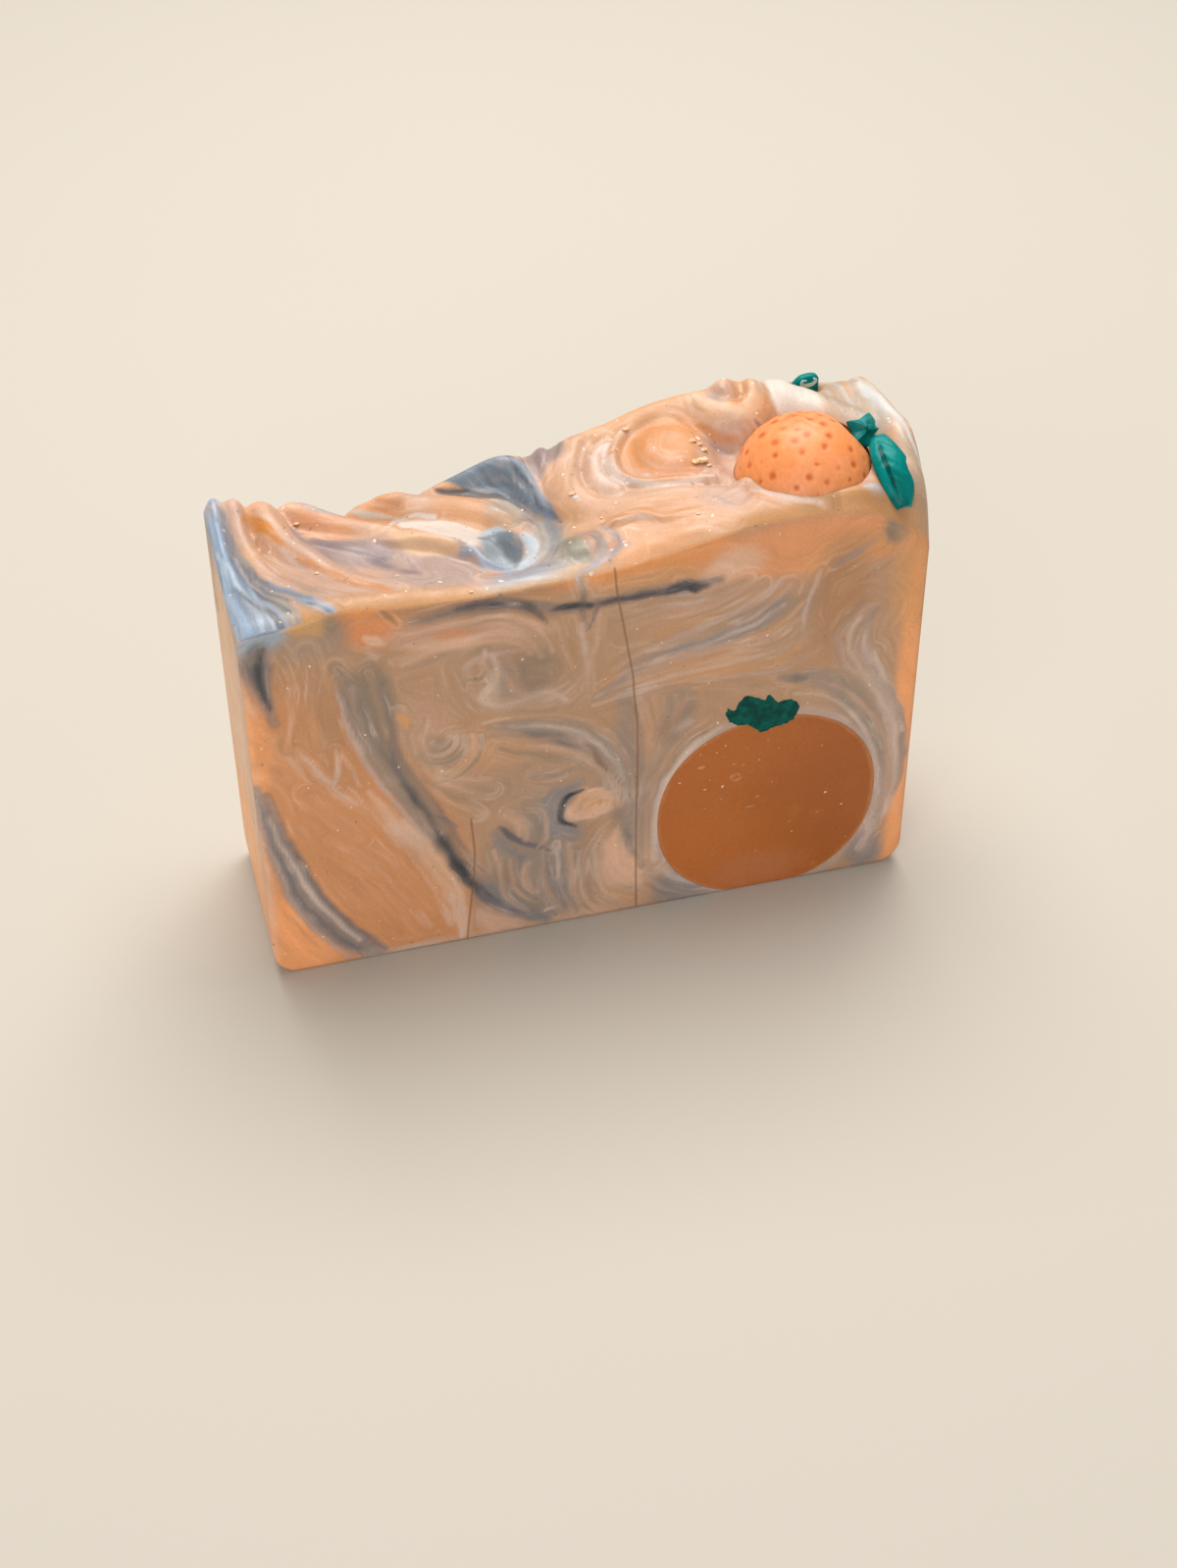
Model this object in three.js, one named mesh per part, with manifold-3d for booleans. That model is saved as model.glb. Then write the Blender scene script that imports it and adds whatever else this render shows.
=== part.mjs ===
// A hand-cut bar of swirled soap. Its top was left in poured waves, with a small soap orange,
// green leaves and a green calyx set in it. A log of plain orange soap and a strip of green soap
// run through the bar from the front cut face to the back one.
// Millimetres, +Z up. X runs along the wide face and the front cut face looks along -Y.
// The origin is the middle of the flat bottom.

import * as THREE from 'three';
import { mergeVertices } from 'three/addons/utils/BufferGeometryUtils.js';
import Module from 'manifold-3d';

const wasm = await Module();
wasm.setup();

// Driving dimensions of the block
const BAR_WIDTH = 89;
const BAR_THICKNESS = 26;
const BOTTOM_CORNER = 3.6;
const GAP = 0.3;
const MOULD_TOP = 80;
const CORNER_STEPS = 6;

// Rounding of the poured top towards the cut faces and towards the mould walls
const FACE_ROUND = { reach: 2.2, drop: 1.0 };
const END_ROUND = { reach: 1.3, drop: 0.8 };

// Grid of the poured top
const GRID_COLUMNS = 78;
const GRID_ROWS = 25;
const GRID_OVERHANG = 1;

// Height of the poured top along six rails from the front cut face to the back one
const STATIONS = [
  -44.5, -42, -38, -34, -30, -24, -18, -12, -6, 0, 5, 10, 15, 20, 25, 30, 35, 40, 44.5,
];
const RAILS = [
  {
    y: -13,
    z: [
      57.0, 57.5, 57.8, 58.8, 59.0, 58.2, 58.0, 58.0, 58.3, 58.6, 59.0, 60.0, 61.0, 62.0, 62.2, 62.3,
      61.8, 58.8, 55.5,
    ],
  },
  {
    y: -9,
    z: [
      57.4, 57.6, 57.8, 58.4, 58.5, 58.2, 57.6, 57.3, 57.8, 58.6, 59.8, 61.0, 61.9, 62.6, 62.8, 62.9,
      63.0, 62.6, 62.2,
    ],
  },
  {
    y: -4,
    z: [
      57.6, 57.2, 57.4, 57.6, 57.2, 56.6, 56.4, 56.4, 57.3, 58.8, 60.6, 61.8, 62.1, 61.8, 61.4, 61.2,
      61.6, 64.0, 66.4,
    ],
  },
  {
    y: 2,
    z: [
      58.2, 57.0, 56.6, 56.6, 56.4, 56.2, 56.0, 56.0, 56.8, 59.0, 61.0, 61.8, 62.2, 62.0, 61.6, 61.4,
      62.8, 65.2, 66.0,
    ],
  },
  {
    y: 8,
    z: [
      59.0, 57.6, 56.4, 56.2, 55.8, 55.2, 55.4, 56.2, 57.6, 60.0, 61.6, 62.4, 63.2, 63.4, 63.2, 63.0,
      64.6, 65.4, 64.8,
    ],
  },
  {
    y: 13,
    z: [
      60.0, 59.0, 57.4, 56.8, 55.6, 54.8, 55.6, 57.2, 59.2, 60.6, 61.2, 63.0, 64.6, 65.2, 65.4, 65.2,
      65.7, 63.9, 62.6,
    ],
  },
];

// Folds of the pour: a rounded crest through these points, which falls by its rise within
// its half width on the left and on the right of its path
const FOLDS = [
  {
    name: 'edge ridge', left: 1.5, right: 1.9, rise: 2.2,
    crest: [
      [-43.1, 13, 61.0], [-43.5, 8, 59.6], [-43.4, 2, 58.5], [-42.6, -4, 58.1], [-41.6, -9, 57.8],
      [-40.4, -13, 57.4],
    ],
  },
  {
    name: 'peach shoulder', left: 1.2, right: 2.4, rise: 1.3,
    crest: [
      [-40.6, 13, 60.5], [-40.5, 8, 58.8], [-39.7, 3, 57.9], [-38.0, -3, 57.8], [-35.0, -8, 58.3],
      [-31.5, -11, 59.0],
    ],
  },
  {
    name: 'first wave', left: 2.2, right: 3.0, rise: 2.0,
    crest: [
      [-37.4, 13, 59.5], [-36.6, 9, 59.0], [-35.2, 5, 58.4], [-33.0, 1, 58.3], [-29.6, -3.5, 58.3],
      [-25.6, -7.5, 58.2], [-22.0, -9.5, 58.1],
    ],
  },
  {
    name: 'second wave', left: 1.3, right: 3.4, rise: 2.4,
    crest: [
      [-33.2, 13, 58.6], [-31.4, 11.4, 58.1], [-28.4, 9.4, 57.3], [-25.0, 7.6, 56.8],
      [-21.4, 5.8, 56.6],
    ],
  },
  {
    name: 'back wave', left: 2.4, right: 3.6, rise: 2.2,
    crest: [
      [-23.5, 13.0, 56.8], [-20.0, 11.5, 57.2], [-15.0, 10.0, 57.2], [-10.5, 7.6, 57.3],
      [-7.5, 4.2, 57.4], [-6.2, 0.0, 57.5],
    ],
  },
  {
    name: 'scoop lip', left: 4.5, right: 1.1, rise: 1.8,
    crest: [
      [-22.5, 3.0, 56.6], [-19.0, 1.8, 57.4], [-16.0, -0.2, 57.8], [-13.4, -2.8, 57.9],
      [-11.6, -6.0, 57.8], [-9.4, -8.4, 57.8], [-6.6, -7.6, 58.0], [-4.6, -4.6, 58.2],
      [-4.6, -1.0, 58.2],
    ],
  },
  {
    name: 'dark wedge', left: 4.0, right: 2.6, rise: 3.4,
    crest: [
      [-15.5, 13.5, 57.4], [-11.0, 12.8, 59.2], [-6.5, 12.2, 60.8], [-3.8, 10.0, 60.7],
      [-2.8, 6.0, 59.8], [-2.0, 1.5, 58.8],
    ],
  },
  {
    name: 'lilac strip', left: 1.3, right: 1.3, rise: 1.4,
    crest: [[-0.3, 13, 61.2], [-0.7, 8.0, 60.9], [-0.9, 4.0, 60.0]],
  },
  {
    name: 'dusky strip', left: 1.2, right: 1.4, rise: 1.2,
    crest: [[2.6, 13, 61.3], [1.2, 9.5, 61.2], [0.6, 6.0, 60.8]],
  },
  {
    name: 'mound edge', left: 1.6, right: 3.2, rise: 1.5,
    crest: [
      [7.0, 13.0, 62.6], [4.0, 10.5, 62.4], [2.4, 6.5, 61.8], [2.0, 2.5, 61.2], [3.4, -0.8, 60.8],
      [7.0, -2.6, 61.4], [12.0, -3.6, 62.2], [17.0, -5.0, 62.7], [20.6, -6.6, 62.9],
    ],
  },
  {
    name: 'inner fold', left: 1.3, right: 1.8, rise: 1.1,
    crest: [[8.0, 9.5, 62.9], [5.6, 6.5, 62.4], [5.0, 2.6, 62.0], [6.6, -0.4, 62.0]],
  },
  {
    name: 'mound crest', left: 4.5, right: 4.0, rise: 2.0,
    crest: [[8.0, 13.0, 63.2], [13.0, 12.8, 65.0], [18.0, 12.4, 66.0], [22.0, 12.0, 66.3]],
  },
  {
    name: 'curl', left: 2.4, right: 3.0, rise: 2.6,
    crest: [
      [20.4, 13, 66.0], [21.2, 10.0, 66.2], [22.8, 7.6, 66.0], [25.4, 6.6, 65.8], [28.0, 8.2, 66.2],
      [28.6, 12.0, 66.4],
    ],
  },
  {
    name: 'glossy rim', left: 1.0, right: 1.1, rise: 1.2,
    crest: [
      [11.6, 10.6, 63.8], [9.0, 8.2, 63.3], [7.4, 5.0, 62.8], [7.4, 1.6, 62.6], [9.4, -0.8, 62.6],
      [13.0, -1.8, 62.8], [18.5, -2.9, 63.0],
    ],
  },
  {
    name: 'ball lip', left: 1.8, right: 1.6, rise: 1.5,
    crest: [
      [18.0, -7.4, 62.6], [20.6, -6.6, 63.0], [22.4, -5.2, 63.2], [23.6, -6.6, 63.2],
      [26.0, -9.4, 63.2], [30.0, -10.8, 63.2], [34.0, -10.9, 63.3], [37.0, -10.4, 63.0],
    ],
  },
  {
    name: 'pale ridge', left: 3.4, right: 4.6, rise: 3.4,
    crest: [
      [29.8, 13, 66.2], [31.5, 10.8, 66.4], [34.4, 7.4, 66.3], [37.3, 4.2, 66.0], [39.6, 1.6, 65.8],
    ],
  },
  {
    name: 'wavelet', left: 1.4, right: 0.6, rise: 0.7,
    crest: [[5.0, -6.4, 60.9], [8.4, -6.6, 61.6], [10.0, -8.0, 61.6], [14.5, -8.6, 62.0]],
  },
  {
    name: 'right shoulder', left: 2.2, right: 2.2, rise: 1.6,
    crest: [
      [42.6, 13, 64.6], [42.8, 8.0, 65.8], [43.2, 2.0, 66.4], [42.8, -4.0, 66.4],
      [42.4, -8.0, 64.4],
    ],
  },
];
const CREST_STEPS = 4;
const FOLD_BLEND = 0.5;

// Domes and hollows of the pour, each with its centre, its reach and its rise or fall
const DOMES = [
  { name: 'amber blob', x: 15.0, y: 4.2, reachX: 4.6, reachY: 4.4, rise: 1.5 },
  { name: 'swirl bump', x: -0.4, y: -8.0, reachX: 2.6, reachY: 2.0, rise: 0.9 },
  { name: 'curl', x: 25.4, y: 10.8, reachX: 2.8, reachY: 3.4, rise: 1.9 },
  { name: 'back lump', x: -20.6, y: 12.0, reachX: 2.4, reachY: 2.0, rise: 0.6 },
  { name: 'ash lump', x: 40.6, y: 9.5, reachX: 1.8, reachY: 2.0, rise: 0.5 },
  { name: 'cup', x: -9.3, y: -3.9, reachX: 2.3, reachY: 3.0, rise: -2.2 },
  { name: 'hollow', x: -25.0, y: -1.5, reachX: 6.5, reachY: 4.0, rise: -0.8 },
  { name: 'amber valley', x: -39.0, y: 7.0, reachX: 1.0, reachY: 3.4, rise: -0.4 },
  { name: 'ball groove', x: 21.8, y: 2.0, reachX: 1.6, reachY: 4.5, rise: -0.8 },
  { name: 'leaf nook', x: 35.4, y: 11.2, reachX: 2.2, reachY: 1.7, rise: -2.2 },
];

// The log of orange soap, a squared circle cut off by the mould's floor
const LOG = { x: 24.2, z: 14.9, halfWidth: 15.4, halfHeight: 15.3, power: 2.15, points: 60 };

// The strip of green soap above the log, as its outline in the front cut face
const STRIP_OUTLINE = [
  [18.1, 33.0], [17.9, 32.0], [18.4, 30.8], [19.4, 29.9], [21.0, 29.5], [22.0, 28.8], [23.0, 27.9],
  [24.5, 28.4], [26.3, 28.7], [27.4, 29.3], [27.8, 30.2], [28.1, 31.0], [27.8, 31.8], [26.9, 32.6],
  [24.8, 32.7], [24.4, 33.4], [23.7, 33.9], [23.3, 33.3], [22.2, 33.8], [20.5, 34.4], [19.6, 33.4],
  [19.1, 32.3],
];

// The small orange on top: its centre, radius and the way its stem end points
const BALL = {
  centre: new THREE.Vector3(30.6, -2.9, 59.9),
  radius: 8.85,
  stem: new THREE.Vector3(0.8, 0.2, 0.56).normalize(),
  columns: 38,
  rows: 22,
  dimples: 46,
  dimpleRadius: 1.0,
  dimpleDepth: 0.28,
  stemDent: 1.2,
  stemReach: 0.3,
};

// The calyx, which lies in the soap at the stem end of the orange
const CALYX = {
  centre: new THREE.Vector3(39.5, -1.3, 64.7),
  facing: new THREE.Vector3(0.1, -0.5, 0.86).normalize(),
  lobes: 5,
  tip: 2.8,
  valley: 1.8,
  thickness: 1.3,
  stub: 0.75,
  stubLength: 1.2,
  stubSides: 10,
};

// The ribbed leaf that hangs from the calyx down to the right-hand front corner
const LEAF = {
  base: new THREE.Vector3(40.3, -3.2, 65.3),
  tip: new THREE.Vector3(40.8, -12.5, 60.3),
  normal: new THREE.Vector3(0.0, -0.46, 0.88).normalize(),
  halfWidth: 2.5,
  thickness: 1.1,
  bow: 1.3,
  arch: 0.5,
  ribHeight: 0.16,
  ribs: 5,
  ribSlant: 0.9,
  midribDepth: 1.6,
  midribWidth: 0.16,
  endWidth: 0.16,
  outlineStart: 0.04,
  outlineRun: 0.93,
  outlineEase: 0.9,
  fullness: 0.75,
  alongSteps: 22,
  acrossSteps: 8,
};

// The small green piece behind the orange, a quarter of a leaf set on edge in the crest.
// Its curve is given as shares of its length and height.
const BACK_LEAF = {
  x: 33.1,
  y: 12.0,
  z: 63.3,
  length: 4.2,
  height: 2.8,
  root: 1.6,
  thickness: 1.2,
  lean: 0.2,
  shoulder: 0.75,
  crown: [0.8, 1],
  middle: [0.45, 0.92],
  slope: [0.1, 0.7],
  curveSteps: 6,
};

const UP = new THREE.Vector3(0, 0, 1);
const GOLDEN_ANGLE = Math.PI * (3 - Math.sqrt(5));
const SAME_PLACE = 1e-4;

const COLOURS = {
  soap: 0xd29a6c,
  log: 0xa05a26,
  strip: 0x005f50,
  ball: 0xf08c50,
  leaf: 0x007364,
};

// A smooth curve through the values at rising places, read at one place
function smoothThrough(places, values, at) {
  const last = places.length - 1;
  let index = 0;
  while (index < last - 1 && at > places[index + 1]) index += 1;
  const slope = (k) => {
    if (k === 0) return (values[1] - values[0]) / (places[1] - places[0]);
    if (k === last) return (values[last] - values[last - 1]) / (places[last] - places[last - 1]);
    const before = places[k] - places[k - 1];
    const after = places[k + 1] - places[k];
    const rising = (values[k + 1] - values[k]) / after;
    const falling = (values[k] - values[k - 1]) / before;
    return (rising * before + falling * after) / (before + after);
  };
  const span = places[index + 1] - places[index];
  const t = THREE.MathUtils.clamp((at - places[index]) / span, 0, 1);
  const startWeight = (1 + 2 * t) * (1 - t) ** 2;
  const startSlope = t * (1 - t) ** 2 * span;
  const endWeight = t * t * (3 - 2 * t);
  const endSlope = t * t * (t - 1) * span;
  return startWeight * values[index] + startSlope * slope(index)
    + endWeight * values[index + 1] + endSlope * slope(index + 1);
}

// The general lie of the top, between the rails
function loftHeight(x, y) {
  const places = RAILS.map((rail) => rail.y);
  const values = RAILS.map((rail) => smoothThrough(STATIONS, rail.z, x));
  return smoothThrough(places, values, y);
}

// A crest with smooth steps between its points
function finerCrest(points) {
  const places = [0];
  for (let k = 1; k < points.length; k += 1) {
    const step = Math.hypot(points[k][0] - points[k - 1][0], points[k][1] - points[k - 1][1]);
    places.push(places[k - 1] + step);
  }
  const count = CREST_STEPS * (points.length - 1);
  const finer = [];
  for (let k = 0; k <= count; k += 1) {
    const at = (places[places.length - 1] * k) / count;
    finer.push([0, 1, 2].map((axis) => smoothThrough(places, points.map((p) => p[axis]), at)));
  }
  return finer;
}

const CRESTS = FOLDS.map((fold) => ({ ...fold, path: finerCrest(fold.crest) }));

// How high a fold stands over a place, which drops without end away from its crest
function foldHeight(fold, x, y) {
  let best = Infinity;
  let height = 0;
  let halfWidth = fold.right;
  for (let k = 1; k < fold.path.length; k += 1) {
    const [ax, ay, az] = fold.path[k - 1];
    const [bx, by, bz] = fold.path[k];
    const dx = bx - ax;
    const dy = by - ay;
    const t = THREE.MathUtils.clamp(((x - ax) * dx + (y - ay) * dy) / (dx * dx + dy * dy), 0, 1);
    const offX = x - ax - t * dx;
    const offY = y - ay - t * dy;
    const distance = Math.hypot(offX, offY);
    if (distance < best) {
      best = distance;
      height = az + t * (bz - az);
      halfWidth = dx * offY - dy * offX > 0 ? fold.left : fold.right;
    }
  }
  return height - fold.rise * (best / halfWidth) ** 2;
}

// The higher of two heights, with the crease between them softened
function softHigher(a, b) {
  const near = Math.max(FOLD_BLEND - Math.abs(a - b), 0) / FOLD_BLEND;
  return Math.max(a, b) + (near * near * FOLD_BLEND) / 4;
}

// How far a place has come towards an edge, from 0 to 1
function towardsEdge(distance, reach) {
  return THREE.MathUtils.clamp(1 - distance / reach, 0, 1);
}

// The poured top
function topHeight(x, y) {
  let z = loftHeight(x, y);
  for (const fold of CRESTS) z = softHigher(z, foldHeight(fold, x, y));
  for (const dome of DOMES) {
    const away = ((x - dome.x) / dome.reachX) ** 2 + ((y - dome.y) / dome.reachY) ** 2;
    z += dome.rise * Math.exp(-(away ** 2));
  }
  const face = towardsEdge(BAR_THICKNESS / 2 - Math.abs(y), FACE_ROUND.reach);
  const end = towardsEdge(BAR_WIDTH / 2 - Math.abs(x), END_ROUND.reach);
  return z - FACE_ROUND.drop * face ** 2 - END_ROUND.drop * end ** 2;
}

// A closed mesh from its corners and triangles
function meshFrom(corners, triangles) {
  const geometry = new THREE.BufferGeometry();
  geometry.setAttribute('position', new THREE.Float32BufferAttribute(corners, 3));
  geometry.setIndex(triangles);
  return geometry;
}

// A solid for joining and cutting, from a closed mesh
function solidFrom(geometry) {
  const bare = geometry.clone();
  bare.deleteAttribute('normal');
  bare.deleteAttribute('uv');
  const merged = mergeVertices(bare, SAME_PLACE);
  return new wasm.Manifold(new wasm.Mesh({
    numProp: 3,
    vertProperties: new Float32Array(merged.attributes.position.array),
    triVerts: new Uint32Array(merged.index.array),
  }));
}

// The mesh of a joined or cut solid
function geometryFrom(solid) {
  const mesh = solid.getMesh();
  return meshFrom(Array.from(mesh.vertProperties), Array.from(mesh.triVerts));
}

// A straight bar of a given outline in X and Z, from one Y to another
function extrudedAlongY(outline, fromY, toY) {
  const shape = new THREE.Shape(outline.map(([x, z]) => new THREE.Vector2(x, z)));
  const geometry = new THREE.ExtrudeGeometry(shape, { depth: toY - fromY, bevelEnabled: false });
  geometry.rotateX(Math.PI / 2);
  geometry.translate(0, toY, 0);
  return geometry;
}

// An outline moved outwards by a distance
function grownOutline(outline, distance) {
  const count = outline.length;
  const area = outline.reduce((sum, [x, z], k) => {
    const [nextX, nextZ] = outline[(k + 1) % count];
    return sum + x * nextZ - nextX * z;
  }, 0);
  const outward = Math.sign(area) * distance;
  return outline.map(([x, z], k) => {
    const [beforeX, beforeZ] = outline[(k + count - 1) % count];
    const [afterX, afterZ] = outline[(k + 1) % count];
    const alongX = afterX - beforeX;
    const alongZ = afterZ - beforeZ;
    const length = Math.hypot(alongX, alongZ);
    return [x + (alongZ / length) * outward, z - (alongX / length) * outward];
  });
}

// The outline of the mould's cross-section, taller than the bar, with rounded bottom corners
function mouldOutline() {
  const half = BAR_WIDTH / 2;
  const outline = [[-half, MOULD_TOP]];
  for (const side of [-1, 1]) {
    for (let k = 0; k <= CORNER_STEPS; k += 1) {
      const share = k / CORNER_STEPS;
      const turn = (Math.PI / 2) * (side < 0 ? share : 1 - share);
      const x = side * (half - BOTTOM_CORNER + BOTTOM_CORNER * Math.cos(turn));
      outline.push([x, BOTTOM_CORNER - BOTTOM_CORNER * Math.sin(turn)]);
    }
  }
  outline.push([half, MOULD_TOP]);
  return outline;
}

// The outline of the log, grown by a distance
function logOutline(grow) {
  const outline = [];
  for (let k = 0; k < LOG.points; k += 1) {
    const turn = (2 * Math.PI * k) / LOG.points;
    const across = Math.sign(Math.cos(turn)) * Math.abs(Math.cos(turn)) ** (2 / LOG.power);
    const up = Math.sign(Math.sin(turn)) * Math.abs(Math.sin(turn)) ** (2 / LOG.power);
    outline.push([LOG.x + (LOG.halfWidth + grow) * across, LOG.z + (LOG.halfHeight + grow) * up]);
  }
  return outline;
}

// The block under the poured top, wider than the bar on all sides, before it is cut to the mould
function pouredBlock() {
  const halfWidth = BAR_WIDTH / 2 + GRID_OVERHANG;
  const halfThickness = BAR_THICKNESS / 2 + GRID_OVERHANG;
  const floor = -GRID_OVERHANG;
  const corners = [];
  const triangles = [];
  const columns = GRID_COLUMNS + 1;
  for (let row = 0; row <= GRID_ROWS; row += 1) {
    const y = -halfThickness + (2 * halfThickness * row) / GRID_ROWS;
    for (let column = 0; column <= GRID_COLUMNS; column += 1) {
      const x = -halfWidth + (2 * halfWidth * column) / GRID_COLUMNS;
      corners.push(x, y, topHeight(x, y));
    }
  }
  for (let row = 0; row < GRID_ROWS; row += 1) {
    for (let column = 0; column < GRID_COLUMNS; column += 1) {
      const a = row * columns + column;
      triangles.push(a, a + 1, a + columns + 1, a, a + columns + 1, a + columns);
    }
  }
  const rim = [];
  for (let column = 0; column < GRID_COLUMNS; column += 1) rim.push(column);
  for (let row = 0; row < GRID_ROWS; row += 1) rim.push(row * columns + GRID_COLUMNS);
  for (let column = GRID_COLUMNS; column > 0; column -= 1) rim.push(GRID_ROWS * columns + column);
  for (let row = GRID_ROWS; row > 0; row -= 1) rim.push(row * columns);
  const firstLow = corners.length / 3;
  for (const index of rim) corners.push(corners[3 * index], corners[3 * index + 1], floor);
  const centre = corners.length / 3;
  corners.push(0, 0, floor);
  rim.forEach((index, k) => {
    const next = (k + 1) % rim.length;
    triangles.push(index, firstLow + k, firstLow + next, index, firstLow + next, rim[next]);
    triangles.push(centre, firstLow + next, firstLow + k);
  });
  return solidFrom(meshFrom(corners, triangles));
}

// Turns a shape that was made along +Z so that it points along a direction, and moves it
function pointedAlong(geometry, direction, place) {
  const turn = new THREE.Quaternion().setFromUnitVectors(UP, direction);
  geometry.applyQuaternion(turn);
  geometry.translate(place.x, place.y, place.z);
  return geometry;
}

// The small orange, with dimples spread evenly over it by the golden angle
function ballGeometry(grow, dimpled) {
  const geometry = new THREE.SphereGeometry(BALL.radius + grow, BALL.columns, BALL.rows);
  geometry.rotateX(Math.PI / 2);
  const position = geometry.attributes.position;
  const dimples = [];
  for (let k = 0; k < BALL.dimples; k += 1) {
    const up = 1 - (2 * (k + 0.5)) / BALL.dimples;
    const around = k * GOLDEN_ANGLE;
    const out = Math.sqrt(1 - up * up);
    dimples.push(new THREE.Vector3(out * Math.cos(around), out * Math.sin(around), up));
  }
  const point = new THREE.Vector3();
  for (let k = 0; k < position.count && dimpled; k += 1) {
    point.fromBufferAttribute(position, k).normalize();
    let depth = BALL.stemDent * Math.exp(-((point.angleTo(UP) / BALL.stemReach) ** 2));
    for (const dimple of dimples) {
      const away = (point.angleTo(dimple) * BALL.radius) / BALL.dimpleRadius;
      depth += BALL.dimpleDepth * Math.exp(-(away ** 2));
    }
    point.multiplyScalar(BALL.radius + grow - depth);
    position.setXYZ(k, point.x, point.y, point.z);
  }
  return pointedAlong(geometry, BALL.stem, BALL.centre);
}

// The star of the calyx with its stub of stem, grown by a distance
function calyxSolid(grow) {
  const shape = new THREE.Shape();
  const count = CALYX.lobes * 4;
  for (let k = 0; k < count; k += 1) {
    const turn = (2 * Math.PI * k) / count;
    const lobe = 0.5 + 0.5 * Math.cos(CALYX.lobes * turn);
    const reach = CALYX.valley + (CALYX.tip - CALYX.valley) * lobe + grow;
    const place = [reach * Math.cos(turn), reach * Math.sin(turn)];
    if (k === 0) shape.moveTo(...place);
    else shape.lineTo(...place);
  }
  const depth = CALYX.thickness + 2 * grow;
  const star = new THREE.ExtrudeGeometry(shape, { depth, bevelEnabled: false });
  star.translate(0, 0, -grow);
  const length = CALYX.thickness + CALYX.stubLength + 2 * grow;
  const stub = new THREE.CylinderGeometry(CALYX.stub + grow, CALYX.stub + grow, length, CALYX.stubSides);
  stub.rotateX(Math.PI / 2);
  stub.translate(0, 0, length / 2 - grow);
  return solidFrom(pointedAlong(star, CALYX.facing, CALYX.centre))
    .add(solidFrom(pointedAlong(stub, CALYX.facing, CALYX.centre)));
}

// The hanging leaf: a bowed and arched blade with a sunk midrib and slanted side ribs
function leafSolid(grow) {
  const along = LEAF.tip.clone().sub(LEAF.base);
  const length = along.length();
  const forward = along.clone().normalize();
  const side = new THREE.Vector3().crossVectors(LEAF.normal, forward).normalize();
  const up = new THREE.Vector3().crossVectors(forward, side).normalize();
  const corners = [];
  const triangles = [];
  const across = LEAF.acrossSteps;
  const columns = across + 1;
  for (const face of [1, -1]) {
    for (let i = 0; i <= LEAF.alongSteps; i += 1) {
      const u = i / LEAF.alongSteps;
      const run = Math.min(LEAF.outlineStart + LEAF.outlineRun * u ** LEAF.outlineEase, 1);
      const swell = Math.sin(Math.PI * run) ** LEAF.fullness;
      const wide = LEAF.endWidth + (1 - LEAF.endWidth) * swell;
      for (let j = 0; j <= across; j += 1) {
        const v = (2 * j) / across - 1;
        const vein = Math.cos(2 * Math.PI * (LEAF.ribs * u - LEAF.ribSlant * Math.abs(v)));
        const midrib = LEAF.midribDepth * Math.exp(-((v / LEAF.midribWidth) ** 2));
        const rib = LEAF.ribHeight * (vein * (1 - Math.abs(v)) - midrib);
        const lift = LEAF.bow * Math.sin(Math.PI * u) - LEAF.arch * v * v
          + face * (LEAF.thickness / 2 + grow) + (face > 0 ? rib : 0);
        const place = LEAF.base.clone()
          .addScaledVector(forward, length * u + grow * (2 * u - 1))
          .addScaledVector(side, v * (LEAF.halfWidth * wide + grow))
          .addScaledVector(up, lift);
        corners.push(place.x, place.y, place.z);
      }
    }
  }
  const under = columns * (LEAF.alongSteps + 1);
  for (let i = 0; i < LEAF.alongSteps; i += 1) {
    for (let j = 0; j < across; j += 1) {
      const a = i * columns + j;
      triangles.push(a, a + columns, a + columns + 1, a, a + columns + 1, a + 1);
      const b = a + under;
      triangles.push(b, b + columns + 1, b + columns, b, b + 1, b + columns + 1);
    }
  }
  const rim = [];
  for (let i = 0; i < LEAF.alongSteps; i += 1) rim.push(i * columns);
  for (let j = 0; j < across; j += 1) rim.push(LEAF.alongSteps * columns + j);
  for (let i = LEAF.alongSteps; i > 0; i -= 1) rim.push(i * columns + across);
  for (let j = across; j > 0; j -= 1) rim.push(j);
  rim.forEach((a, k) => {
    const b = rim[(k + 1) % rim.length];
    triangles.push(a, b + under, b, a, a + under, b + under);
  });
  return solidFrom(meshFrom(corners, triangles));
}

// The quarter leaf behind the orange, grown by a distance
function backLeafSolid(grow) {
  const shape = new THREE.Shape();
  const { length, height, root } = BACK_LEAF;
  const onCurve = ([along, up]) => [length * along, height * up + grow];
  shape.moveTo(-grow, -root - grow);
  shape.lineTo(length + grow, -root - grow);
  shape.lineTo(length + grow, height * BACK_LEAF.shoulder + grow);
  shape.quadraticCurveTo(...onCurve(BACK_LEAF.crown), ...onCurve(BACK_LEAF.middle));
  shape.quadraticCurveTo(...onCurve(BACK_LEAF.slope), -grow, grow);
  const depth = BACK_LEAF.thickness + 2 * grow;
  const geometry = new THREE.ExtrudeGeometry(shape, {
    depth,
    bevelEnabled: false,
    curveSegments: BACK_LEAF.curveSteps,
  });
  geometry.translate(0, 0, -depth / 2);
  geometry.rotateX(Math.PI / 2 - BACK_LEAF.lean);
  geometry.translate(BACK_LEAF.x, BACK_LEAF.y, BACK_LEAF.z);
  return solidFrom(geometry);
}

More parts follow.
